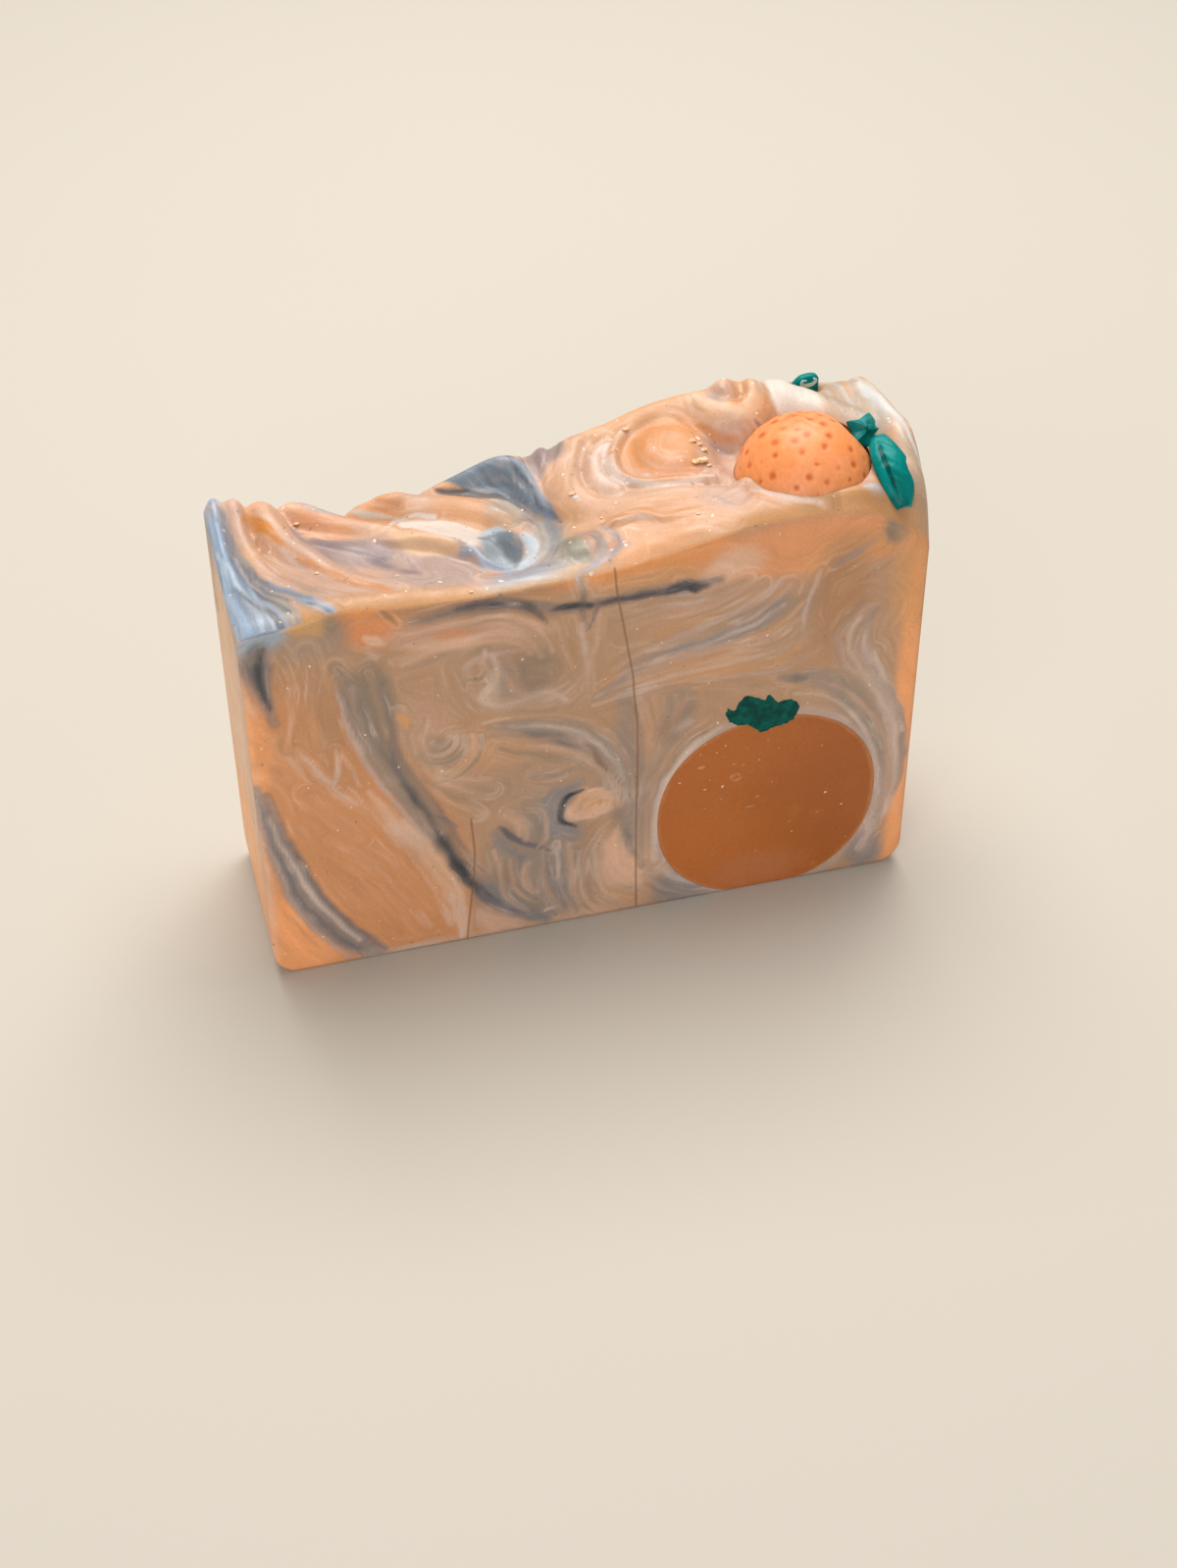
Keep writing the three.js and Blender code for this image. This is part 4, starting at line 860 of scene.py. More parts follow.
        Sheaf((Tint.OLIVE, Tint.FROST, Tint.TAUPE, Tint.PALE), 8, (0.22, 0.38, 0.38, 0.25), ((5, 10),
            (5.2, 18), (6.8, 25.4), (9.6, 31), (13.6, 34)), ((8.6, 8.6), (8.4, 15.4), (9.8, 21.8),
            (12.6, 26.6), (17, 30)), 0.32, 0.6),
        Sheaf((Tint.PALE, Tint.HONEY, Tint.TAUPE), 6, (0.22, 0.4, 0.24), ((6, 37), (7, 33), (7.4, 28),
            (6.8, 23)), ((14, 36.4), (12.6, 33.6), (10.6, 30.6), (9, 27)), 0.4, 0.5),
        Sheaf((Tint.LILAC, Tint.BLUE_GREY, Tint.FROST), 5, (0.22, 0.45, 0.3), ((7, 6), (9, 3.4),
            (12, 1.6), (16.4, 0.4)), ((8.4, 8), (10.4, 5.4), (13, 3.4), (16.6, 2)), 0.4, 0.6),
        Stroke(Tint.FROST, (0.15, 0.4, 0.15), ((-21.4, 21.2), (-20.9, 20.2), (-20.4, 19)), 0.25, 0.85,
            Layer.LINE),
        Stroke(Tint.FROST, (0.08, 0.16, 0.08), ((-14, 49.1), (-13.9, 48.4), (-13.8, 47.7)), 0.12, 0.8,
            Layer.LINE),
        Stroke(Tint.FROST, (0.3, 0.5, 0.3), ((-31.6, 0.2), (-28, 0.3), (-22, 0.6)), 0.4, 0.6, Layer.LINE),
        Stroke(Tint.FROST, (0.12, 0.3, 0.15), ((-18.4, 6), (-18.7, 3.4), (-18.9, 0.6)), 0.25, 0.8,
            Layer.LINE),
        Stroke(Tint.FROST, (0.25, 0.35, 0.25), ((-7.2, 2.9), (-6.6, 3.05), (-5.9, 2.9)), 0.16, 0.9,
            Layer.LINE),
        Stroke(Tint.INK, (0.1, 0.16, 0.1), ((-6.9, 2.6), (-6.5, 2.65), (-6.2, 2.6)), 0.14, 0.8,
            Layer.LINE),
    ],
)


# Strokes of the poured top, as places along X and Y
TOP = Paint(
    patches=[
        Patch(-31, -4, 9, 11, Tint.T_PINK, 0.9, 0.5),
        Patch(-18, -5.5, 6, 6, Tint.T_LILAC, 0.95),
        Patch(-26, -12.6, 14, 2.4, Tint.T_GOLD, 0.9, 0.8),
        Patch(-6, -12.4, 8, 2, Tint.T_OLIVE, 0.6, 0.8),
        Patch(-36, -12.4, 2.6, 1.4, Tint.T_GOLD, 0.8, 0.9),
        Patch(-27.5, 2.6, 6.5, 3.2, Tint.T_DUSK, 0.85, 0.7, -22),
        Patch(-30.4, 8, 4.6, 1.7, Tint.T_SALMON, 0.95, 0.7, -28),
        Patch(-40.8, 9, 1.3, 5, Tint.T_PINK, 0.95, 0.7, 4),
        Patch(-36.6, 9.5, 2.6, 5, Tint.T_ROSE, 0.9, 0.8),
        Patch(-43.6, 9.5, 1.7, 4.5, Tint.T_SHADE, 0.6, 1),
        Patch(-38.6, 4.6, 1.2, 3.4, Tint.T_PEACH, 0.9, 0.8, 20),
        Patch(-24, 9.5, 5, 2.4, Tint.T_ORANGE, 0.8, 0.8, -20),
        Patch(-20.6, 10.6, 2.4, 1.3, Tint.T_DEEP, 0.5, 0.9),
        Patch(-16, 10.6, 3.2, 1.6, Tint.T_PINK, 0.8, 0.8, -20),
        Patch(-11.4, 6.6, 5.5, 2.2, Tint.T_ORANGE, 0.8, 0.8, -38),
        Patch(-6, 4.2, 3.4, 4.4, Tint.T_STONE, 0.85, 0.7),
        Patch(-3.6, 0.4, 2, 4.6, Tint.T_PLUM, 0.7, 1, -10),
        Patch(-8.5, 2.6, 2.2, 1.6, Tint.T_GOLD, 0.6, 0.9, -40),
        Patch(-24.2, 0.4, 0.9, 0.7, Tint.T_SMUDGE, 0.9, 0.9),
        Patch(-33.7, 7.4, 0.8, 1.6, Tint.T_DUSK, 0.8, 0.9),
        Patch(-7.5, -10.2, 6, 1.7, Tint.T_SILVER, 0.65, 0.9, 6),
        Patch(-3, -5, 2.6, 5.4, Tint.T_STONE, 0.8, 0.8),
        Patch(-0.8, -8.2, 2.2, 2.8, Tint.T_BUMP, 1, 0.5, 20),
        Patch(2.4, -8.6, 2.4, 3, Tint.T_PLUM, 0.9, 0.8),
        Patch(2.8, -9.5, 2.8, 1.4, Tint.T_PLUM, 0.9, 0.8, 12),
        Patch(-0.6, -2, 1.5, 4, Tint.T_GOLD, 0.55, 0.9),
        Patch(0.2, 3.6, 1.8, 4, Tint.T_PEACH, 0.7, 0.9),
        Patch(-1.6, 10.4, 1.6, 4, Tint.T_DUSK, 1, 0.6, -6),
        Patch(0.9, 11, 1.4, 3, Tint.T_PLUM, 0.95, 0.7, -10),
        Patch(8, -8, 8, 5, Tint.T_ORANGE, 0.8, 0.8),
        Patch(14.5, 4, 6, 6, Tint.T_BLOB, 1, 0.4),
        Patch(12.4, 4.2, 2.4, 2.4, Tint.T_AMBER, 0.35, 0.9),
        Patch(15.4, -0.6, 4, 1.3, Tint.T_DEEP, 0.7, 0.9),
        # painted highlight on a fold crest
        Patch(6, 3, 1.6, 4.6, Tint.T_CREST_HIGHLIGHT, 0.7, 0.9),
        Patch(12.5, -3.4, 5.5, 1.2, Tint.T_PEACH, 0.9, 0.9, -8),
        Patch(20.2, 1, 2.6, 4.8, Tint.T_PINK, 0.9, 0.8),
        Patch(18.6, -6.4, 3, 3.4, Tint.T_PINK, 0.8, 0.9, 20),
        Patch(14, 11.4, 7, 2, Tint.T_ORANGE, 0.7, 0.9),
        Patch(27, 10, 3.4, 4.4, Tint.T_ORANGE, 1, 0.7),
        Patch(22.6, 10, 2.9, 3.4, Tint.T_ROSE, 1, 0.6, -20),
        Patch(22.9, 9.8, 1.4, 1.8, Tint.T_LILAC, 0.45, 1),
        Patch(24.6, 7.4, 1, 0.8, Tint.T_AMBER, 0.9, 0.9),
        Patch(22.6, 4.6, 3.4, 1.8, Tint.T_PINK, 0.8, 0.9, -30),
        Patch(32, 8.6, 2.7, 5.6, Tint.T_MILK, 1, 0.5, 34),
        Patch(39.4, 5.6, 3.4, 7.4, Tint.T_SAND),
        Patch(40.6, -1, 1.8, 2.4, Tint.T_ASH, 0.6, 0.9),
        Patch(42.8, 2, 1.2, 10, Tint.T_ASH, 0.6, 0.9, 3),
        Patch(41.8, 6.4, 0.7, 1.6, Tint.T_WHITE, 1, 0.7),
        Patch(43.4, -8.6, 1.8, 4, Tint.T_SAND, 0.9, 0.7),
        Patch(30, -12.4, 13, 2.2, Tint.T_GOLD, 0.9, 0.9),
        Patch(37, -10.6, 1.3, 0.7, Tint.T_ICE, 0.6, 0.9),
        Patch(16.6, -12.2, 2.2, 1.4, Tint.T_PEACH, 0.8, 0.9),
    ],
    strokes=[
        Stroke(Tint.T_SILVER, (1.3, 1.2, 1.6, 2.4, 3.4), ((-44, 13.4), (-44, 8), (-43.8, 1), (-42.4, -6),
            (-40.9, -13.4)), 0.35, 1, Layer.BAND),
        Stroke(Tint.T_STONE, (0.3, 0.6, 0.9, 1), ((-41.6, 5), (-40.4, -1.5), (-38.9, -6), (-37, -13.2)),
            0.3, 0.9, Layer.BAND),
        Stroke(Tint.T_SILVER, (0.15, 0.5, 0.7, 0.5), ((-39.4, -3), (-37.8, -5.4), (-35.6, -8.6),
            (-32.6, -12.6)), 0.22, 0.95, Layer.BAND),
        Stroke(Tint.T_DEEP, (0.3, 0.5, 0.8, 1.2, 0.6), ((-34.4, 0.6), (-32.2, -2.2), (-30, -4.8),
            (-27.4, -7.8), (-25.2, -10.2)), 0.5, 0.8, Layer.BAND),
        Stroke(Tint.T_GOLD, (0.2, 0.6, 0.3), ((-30.3, -0.3), (-28.6, -2.8), (-26.6, -5.6)), 0.5, 0.6,
            Layer.BAND),
        Stroke(Tint.T_MILK, (0.5, 1.9, 2.9, 2.6, 1.1), ((-20, 7.6), (-17.6, 5.6), (-14.8, 2.8),
            (-12.8, 0.4), (-12.4, -2)), 0.3, 1, Layer.BAND),
        # painted light: lightens the lobe under the trough, which the relief leaves in a dip
        Stroke(Tint.T_PAINTED_LIGHT, (1, 1.5, 1.3, 0.4), ((-21.4, 4.2), (-19.8, 1.9), (-17.6, 0.2), (-14.8, -2.2)),
            0.5, 1, Layer.LINE),
        Stroke(Tint.T_CUP, (2, 2.4, 1.6), ((-9.8, 0.2), (-9.4, -3.6), (-9, -7)), 0.3, 1, Layer.BAND),
        Stroke(Tint.T_MICA, (1.6, 2.6, 2.2, 1.4, 0.9, 0.4), ((-12, 13.6), (-8.4, 11.6), (-5.4, 9.2),
            (-3.9, 5.8), (-2.9, 2.8), (-1.9, -0.3)), 0.22, 1, Layer.BAND),
        Stroke(Tint.T_ICE, (0.4, 0.9, 1, 0.6), ((-6.5, -2.2), (-5.9, -4.4), (-6, -6.6), (-8.2, -8.7)),
            0.3, 0.9, Layer.BAND),
        Stroke(Tint.T_SILVER, (0.3, 0.6, 0.9, 0.6), ((-14.4, -2.4), (-12.6, -4.2), (-11.6, -6.6),
            (-9.6, -8.8)), 0.35, 0.85, Layer.BAND),
        Stroke(Tint.T_PINK, (0.4, 0.9, 0.6), ((4.6, 9.6), (3.4, 5.6), (3.2, 1.6)), 0.5, 0.6, Layer.BAND),
        # veins, among them strokes of painted shade along creases
        Stroke(Tint.T_SHADE, (0.25, 0.55, 0.5, 0.2), ((-42.4, 11), (-42.3, 5), (-42.2, 0), (-41.2, -4.4)),
            0.25, 0.75),
        # this stroke and the next are painted shade along creases of the silver ridge
        Stroke(Tint.T_CREASE_SHADE, (0.2, 0.4, 0.5, 0.4), ((-43.2, -2.4), (-42.4, -6), (-40.8, -8.4),
            (-39.6, -10.2), (-38.7, -12.8)), 0.25),
        Stroke(Tint.T_CREASE_SHADE, (0.2, 0.45, 0.35, 0.25), ((-42.6, 3.6), (-42, -1), (-40.8, -4.6), (-39, -8),
            (-37.4, -10.8)), 0.25, 0.9),
        Stroke(Tint.T_ICE, (0.2, 0.5, 0.5, 0.2), ((-43.3, 0.6), (-42.9, -3.4), (-41.7, -6.6),
            (-40.4, -9)), 0.3, 0.9),
        Stroke(Tint.T_SHADE, (0.15, 0.35, 0.15), ((-42, -2), (-41.2, -4), (-40.2, -6.4)), 0.2, 0.7),
        # painted shade along a crease
        Stroke(Tint.T_CREASE_SHADE, (0.1, 0.25, 0.2), ((-35.2, -9.8), (-33.9, -11.2), (-32.6, -12.8)), 0.2,
            0.8),
        Stroke(Tint.T_ICE, (0.12, 0.28, 0.12), ((-44.1, 3.6), (-43.8, -0.4), (-43.5, -3.6)), 0.2, 0.9),
        Stroke(Tint.T_ICE, (0.15, 0.5, 0.3), ((-41.6, -8.4), (-41, -10), (-41.2, -12.6)), 0.3, 0.6),
        Stroke(Tint.T_SHADE, (0.2, 0.4, 0.2), ((-44.3, 12.6), (-43.6, 10.4), (-43.4, 8)), 0.25, 0.6),
        # painted shade along a crease
        Stroke(Tint.T_CREASE_SHADE, (0.2, 0.4, 0.35, 0.2), ((-41.9, 4), (-41, -1.2), (-39.6, -4.8),
            (-37.2, -8.4)), 0.3, 0.8, Layer.LINE),
        Stroke(Tint.T_SHADE, (0.15, 0.3, 0.3, 0.15), ((-40.6, 0.4), (-39.4, -3.2), (-37.4, -6.4),
            (-34.6, -9.4)), 0.3, 0.8, Layer.LINE),
        Stroke(Tint.T_AMBER, (0.12, 0.6, 0.55, 0.3, 0.15), ((-39.3, 10.9), (-38.6, 9.4), (-37.6, 7.4),
            (-36.6, 5.4), (-35.4, 2.4)), 0.25, 0.95),
        Stroke(Tint.T_AMBER, (0.2, 0.25, 0.1), ((-39.3, 10.6), (-39.8, 9.4), (-40.4, 8)), 0.18, 0.85),
        Stroke(Tint.T_DEEP, (0.15, 0.3, 0.15), ((-35.4, 2.4), (-34.2, 0.2), (-32.4, -2)), 0.3, 0.7),
        Stroke(Tint.T_DUSK, (0.3, 0.8, 0.8, 0.3), ((-33.2, 6.2), (-30.6, 5), (-26.6, 4), (-22.4, 1.6)),
            0.4, 0.8),
        Stroke(Tint.T_SMUDGE, (0.4, 0.8, 0.3, 0.7, 0.2), ((-31.6, 5.8), (-29.4, 4), (-27.4, 2.8),
            (-25, 1.6), (-23, 0.4)), 0.9, 0.75, Layer.LINE),
        Stroke(Tint.T_SMUDGE, (0.3, 0.9, 0.3, 0.7, 0.2), ((-25.6, 0.6), (-24, -0.8), (-22.4, -2.4),
            (-21, -3.8), (-20.4, -6)), 0.8, 0.8, Layer.LINE),
        Stroke(Tint.T_SMUDGE, (0.2, 0.4, 0.15), ((-21.4, 1.6), (-20.8, -1), (-20.6, -3)), 0.6, 0.7,
            Layer.LINE),
        Stroke(Tint.T_ASH, (0.12, 0.35, 0.15), ((-28.6, 3.6), (-26.6, 2.9), (-24.8, 1.7)), 0.25, 0.8),
        Stroke(Tint.T_LILAC, (0.15, 0.5, 0.45, 0.15), ((-33.4, 12.9), (-31, 10.8), (-28.6, 9.7),
            (-25.4, 8.3)), 0.22, 0.85),
        Stroke(Tint.T_SILVER, (0.1, 0.3, 0.15), ((-31.4, 11.2), (-29.8, 10.2), (-28, 9.6)), 0.2, 0.8),
        Stroke(Tint.T_ASH, (0.15, 0.35, 0.3, 0.12), ((-26, 12.6), (-25.2, 11.4), (-23.4, 10),
            (-20.4, 8.5)), 0.2, 0.85),
        Stroke(Tint.T_MILK, (0.12, 0.22, 0.2, 0.3), ((-22.9, 5.5), (-21.6, 6.1), (-22.1, 7.4),
            (-21.2, 8.1), (-18.6, 8.2), (-15.6, 7.3))),
        Stroke(Tint.T_SMUDGE, (0.1, 0.25, 0.2), ((-17, 0.6), (-15.4, -0.8), (-13.6, -2.2)), 0.2, 0.85),
        # painted shade on the cup's back and right wall
        Stroke(Tint.T_CUP_SHADE, (0.3, 0.9, 0.8, 0.6, 0.35), ((-11.6, -0.8), (-10, 0.4), (-8.2, -0.6),
            (-7.5, -3.6), (-8, -6.6), (-8.8, -8.4)), 0.3, 0.9),
        Stroke(Tint.T_MICA_DARK, (0.2, 0.6, 0.55, 0.3, 0.15), ((-14.4, 12), (-11.6, 10.4), (-9, 9),
            (-6.2, 7), (-4.6, 3.4)), 0.22, 0.9),
        Stroke(Tint.T_MICA_DARK, (0.1, 0.25, 0.15), ((-3.2, 5), (-2.8, 2), (-1.6, -0.4), (-1.2, -1.8)),
            0.2, 0.7),
        Stroke(Tint.T_SMUDGE, (0.15, 0.3, 0.1), ((0.6, 11.6), (0, 9.4), (-0.9, 7.2)), 0.25, 0.8),
        Stroke(Tint.T_WHITE, (0.1, 0.22, 0.1), ((1.1, 12.9), (1.2, 12), (1.6, 11.2)), 0.15, 0.9),
        Stroke(Tint.T_WHITE, (0.12, 0.25, 0.1), ((0.8, 1.1), (1.1, 0.6), (1.7, 0)), 0.12),
        Stroke(Tint.T_WHITE, (0.1, 0.2, 0.1), ((1.2, -0.3), (1.4, -0.5), (1.6, -0.4)), 0.12, 0.9),
        Stroke(Tint.T_BUMP, (0.9, 1.5, 1.5, 0.8), ((-1.4, -6.4), (-1.2, -7.8), (-1, -9.2), (-0.4, -10.6)),
            0.7, 0.85, Layer.LINE),
        Stroke(Tint.T_PLUM, (0.3, 0.7, 0.7, 0.4), ((0.2, -5.4), (1.8, -6.8), (2.2, -9), (0.8, -11.2)),
            0.5, 0.85, Layer.LINE),
        Stroke(Tint.T_SHADE, (0.2, 0.4, 0.4, 0.2), ((2.6, -5.8), (4.2, -7.8), (4, -9.8), (2.4, -11.8)),
            0.4, 0.6, Layer.LINE),
        Stroke(Tint.T_SHADE, (0.5, 0.8, 0.7, 0.5, 0.3), ((-2.4, 1.2), (-2.2, -1.8), (-2.9, -5),
            (-4.8, -8.2), (-8.6, -10.4)), 0.8, 0.7, Layer.LINE),
        Stroke(Tint.T_SILVER, (0.12, 0.3, 0.25, 0.12), ((-2.2, -12.6), (0.4, -11.9), (2.4, -11),
            (5.2, -10.2)), 0.22, 0.85),
        Stroke(Tint.T_SMUDGE, (0.1, 0.3, 0.1), ((-1.6, -12.6), (0.8, -11.3), (2.6, -10.6)), 0.25, 0.7),
        Stroke(Tint.T_GOLD, (0.1, 0.3, 0.1), ((2.6, 6.2), (1.8, 4), (1.2, 1.6)), 0.3, 0.7),
        # this stroke and the three pale ones after it are painted highlights along fold crests
        Stroke(Tint.T_CREST_HIGHLIGHT, (0.15, 0.4, 0.35, 0.15), ((4.6, 6.8), (5.2, 4.4), (4.9, 2), (5.6, 0.2)), 0.3,
            0.7),
        Stroke(Tint.T_CREST_HIGHLIGHT, (0.25, 0.4, 0.3, 0.25, 0.1), ((6.7, 6.4), (6.6, 3.6), (7, 0.8), (8.8, -1.2),
            (12, -2.3), (17.4, -3.3)), 0.2),
        Stroke(Tint.T_CREST_HIGHLIGHT, (0.15, 0.5, 0.2), ((5.6, 6.7), (7, 7.6), (8.4, 8.2)), 0.18, 0.95),
        Stroke(Tint.T_CREST_HIGHLIGHT, (0.15, 0.5, 0.15), ((8.8, 8.5), (9.5, 9.5), (10.7, 9.2)), 0.18, 0.95),
        Stroke(Tint.T_DEEP, (0.15, 0.35, 0.15), ((6.9, 6), (7.5, 5.6), (8.2, 6)), 0.2, 0.8),
        Stroke(Tint.T_GOLD, (0.1, 0.3, 0.3, 0.12), ((10.6, 9.4), (13.4, 9.9), (16.4, 9.2), (19, 7.2)),
            0.3, 0.7),
        Stroke(Tint.T_DEEP, (0.12, 0.45, 0.35, 0.15), ((17, 8.6), (19.4, 6.7), (21.6, 5.1), (23.9, 3.5)),
            0.25, 0.9),
        Stroke(Tint.T_DUSK, (0.12, 0.4, 0.15), ((19.6, 5.2), (21.2, 4.2), (22.9, 3.3)), 0.25, 0.7),
        # painted highlight on a fold
        Stroke(Tint.T_CREST_HIGHLIGHT, (0.15, 0.35, 0.15), ((20.8, -1), (20.4, -3.4), (19.6, -5.4)), 0.35, 0.6),
        Stroke(Tint.T_DUSK, (0.1, 0.3, 0.1), ((16.6, -6.2), (18, -8), (19.8, -9.7)), 0.3, 0.5),
        Stroke(Tint.T_DUSK, (0.1, 0.3, 0.1), ((19.8, -9.7), (21.4, -8.6), (22.6, -6.6)), 0.3, 0.5),
        # painted highlight along a fold crest
        Stroke(Tint.T_CREST_HIGHLIGHT, (0.12, 0.35, 0.2), ((22.7, -6.6), (24, -8.8), (26.4, -10.6), (30, -12)),
            0.25, 0.8),
        # painted highlight along a fold crest
        Stroke(Tint.T_CREST_HIGHLIGHT, (0.1, 0.25, 0.1), ((3.8, -6.2), (6.4, -6.6), (8.8, -7.4), (9.4, -8.6)), 0.2,
            0.8),
        Stroke(Tint.T_SMUDGE, (0.1, 0.25, 0.1), ((21.3, 8.4), (21.8, 8), (22.3, 7.9)), 0.2, 0.8),
        Stroke(Tint.T_SMUDGE, (0.1, 0.3, 0.1), ((26.2, 5), (26.7, 4.7), (27.1, 4.8)), 0.2, 0.8),
        Stroke(Tint.T_SMUDGE, (0.08, 0.2, 0.08), ((25, 12.4), (25.6, 12), (26, 12.2)), 0.2, 0.7),
        Stroke(Tint.T_GOLD, (0.2, 0.3, 0.3, 0.2), ((25.2, 12.9), (25.6, 10.6), (25.2, 8.2), (24.2, 6.4)),
            0.5, 0.6),
        # painted light along the crest of the curl's fold, in this stroke and the next
        Stroke(Tint.T_PAINTED_LIGHT, (0.4, 1.1, 1.3, 0.8, 0.3), ((20.4, 11.4), (21, 9), (22.6, 7.2), (25, 6.4),
            (27.2, 7.4)), 0.9, 0.75, Layer.LINE),
        Stroke(Tint.T_PAINTED_LIGHT, (0.4, 0.9, 0.9, 0.4), ((27.6, 12.6), (27.8, 10.4), (27.6, 8.6), (27, 7.2)),
            0.7, 0.6, Layer.LINE),
        Stroke(Tint.T_SMUDGE, (0.15, 0.4, 0.15), ((22.2, 10), (22.8, 9.4), (23.4, 9.6)), 0.5, 0.6,
            Layer.LINE),
        Stroke(Tint.T_AMBER, (0.3, 0.6, 0.3), ((24, 7.9), (24.7, 7.3), (25.2, 6.9)), 0.4, 0.8,
            Layer.LINE),
        Stroke(Tint.T_GOLD, (0.2, 0.35, 0.2), ((19.4, 12), (19.8, 9), (21.4, 6.8)), 0.4, 0.8),
        Stroke(Tint.T_DEEP, (0.15, 0.4, 0.2), ((29.4, 12.6), (29.3, 9.6), (27.8, 6.2)), 0.4, 0.7),
        Stroke(Tint.T_PLUM, (0.3, 0.5, 0.2), ((21.6, 10.4), (22.4, 9.4), (22.7, 8.2)), 0.5, 0.6),
        Stroke(Tint.T_GOLD, (0.08, 0.16, 0.08), ((36.9, 12.6), (37.2, 10.2), (38.1, 8.4), (38.2, 6.2)),
            0.15, 0.8),
        Stroke(Tint.T_ORANGE, (0.2, 0.5, 0.2), ((39.8, 10.6), (40, 7.8), (39.6, 5.6)), 0.4, 0.7),
        Stroke(Tint.T_WHITE, (0.3, 0.7, 0.55, 0.3, 0.2), ((41.6, 8.6), (42.4, 4.4), (43.1, 0), (43.8, -5),
            (44.3, -8.4)), 0.25, 1, Layer.LINE),
        # fine lines
        Sheaf((Tint.T_ICE, Tint.T_SHADE, Tint.T_SILVER), 7, (0.08, 0.16, 0.2, 0.12), ((-44.3, 12.6),
            (-44.3, 4), (-44.2, -3), (-43.8, -12.6)), ((-42, 12.6), (-41.6, 4), (-40, -4),
            (-37.8, -12.6)), 0.16, 0.6),
        Sheaf((Tint.T_LILAC, Tint.T_GOLD, Tint.T_PEACH), 7, (0.08, 0.2, 0.2, 0.1), ((-39.6, 2),
            (-37.4, -2.6), (-34.6, -6.4), (-30.4, -11)), ((-33.8, 4.6), (-31.6, -0.6), (-28, -5.4),
            (-24, -9.8)), 0.22, 0.5),
        # the palest lines of this sheaf are painted highlights on the fold
        Sheaf((Tint.T_CREST_HIGHLIGHT, Tint.T_PINK), 4, (0.08, 0.18, 0.08), ((-39.6, 8.4), (-39.4, 6.4),
            (-39.8, 4)), ((-37.4, 12.4), (-35.6, 8), (-34.6, 4.6)), 0.2, 0.5),
        Sheaf((Tint.T_MICA_LIGHT, Tint.T_MICA_DARK, Tint.T_SHADE), 8, (0.06, 0.16, 0.14, 0.06),
            ((-11, 12.8), (-8.6, 10.2), (-6.2, 7.4), (-4.6, 4)), ((-3.6, 12.8), (-3.4, 9.8), (-2.9, 6.6),
            (-2.4, 3)), 0.14, 0.75),
        Sheaf((Tint.T_PINK, Tint.T_LILAC, Tint.T_DUSK), 5, (0.08, 0.16, 0.08), ((-3, 12.8), (-2.8, 9.4),
            (-2.2, 6.6)), ((1.6, 12.8), (0.6, 10), (-0.6, 7.4)), 0.18, 0.6),
        Sheaf((Tint.T_PEACH, Tint.T_GOLD), 5, (0.08, 0.22, 0.1), ((-18.4, 9.6), (-13.4, 8), (-9.4, 4.4),
            (-6.6, 0.6)), ((-14.6, 10.8), (-10, 8.6), (-6.4, 5), (-4.8, 1)), 0.25, 0.4),
        Sheaf((Tint.T_STONE, Tint.T_ICE, Tint.T_SHADE), 5, (0.08, 0.16, 0.08), ((-5.6, -1.4),
            (-4.8, -4.2), (-5.4, -7), (-8, -9.4)), ((-3.4, -0.8), (-2.8, -4.6), (-3.8, -8),
            (-6.6, -10.6)), 0.2, 0.5),
        Sheaf((Tint.T_SHADE, Tint.T_STONE, Tint.T_ICE), 5, (0.08, 0.2, 0.1), ((-12.4, -9), (-8, -9.6),
            (-3.6, -9.4)), ((-12.4, -11.6), (-8, -11.6), (-2.6, -12.2)), 0.25, 0.5),
        # the palest lines of this sheaf are painted highlights along the folds
        Sheaf((Tint.T_CREST_HIGHLIGHT, Tint.T_ORANGE, Tint.T_PEACH), 6, (0.08, 0.2, 0.1), ((3.6, 7.4), (2, 3),
            (2.6, -0.6), (6.4, -3), (12, -4.2)), ((5.8, 5), (5.4, 1.4), (7, -1.6), (11, -3.2),
            (17, -4.2)), 0.25, 0.5),
        Sheaf((Tint.T_PEACH, Tint.T_DEEP), 5, (0.08, 0.22, 0.1), ((6, -4.4), (10, -5.4), (14, -6.6),
            (18, -9.6)), ((2.6, -3.6), (8, -8.6), (13, -10.4), (19, -12.2)), 0.3, 0.4),
        # the palest lines of this sheaf are painted highlights along the folds
        Sheaf((Tint.T_CREST_HIGHLIGHT, Tint.T_DEEP), 5, (0.08, 0.2, 0.1), ((9.4, 6.4), (9, 2.4), (11, 0),
            (16, -1.4)), ((14, 7.4), (12.4, 4), (13.6, 1.6), (17.6, 1)), 0.25, 0.35),
        Sheaf((Tint.T_ASH, Tint.T_SAND, Tint.T_WHITE), 7, (0.08, 0.2, 0.16, 0.08), ((36.4, 12.6),
            (37.2, 8.4), (37, 5), (37.6, 1.6)), ((43.6, 12.6), (43.2, 8.4), (42.6, 4), (42, -2)), 0.2,
            0.6),
        Sheaf((Tint.T_PEACH, Tint.T_ORANGE), 4, (0.1, 0.25, 0.1), ((20.4, 12.6), (20.4, 9.6), (21.6, 7.4),
            (24, 5.8)), ((28.8, 12.6), (28.8, 9), (27.8, 7), (25.4, 5.6)), 0.3, 0.4),
        Stroke(Tint.T_WHITE, (0.08, 0.15, 0.08), ((10.5, 1.1), (10.8, 0.6), (11.2, 0.4)), 0.12, 0.9,
            Layer.LINE),
    ],
)

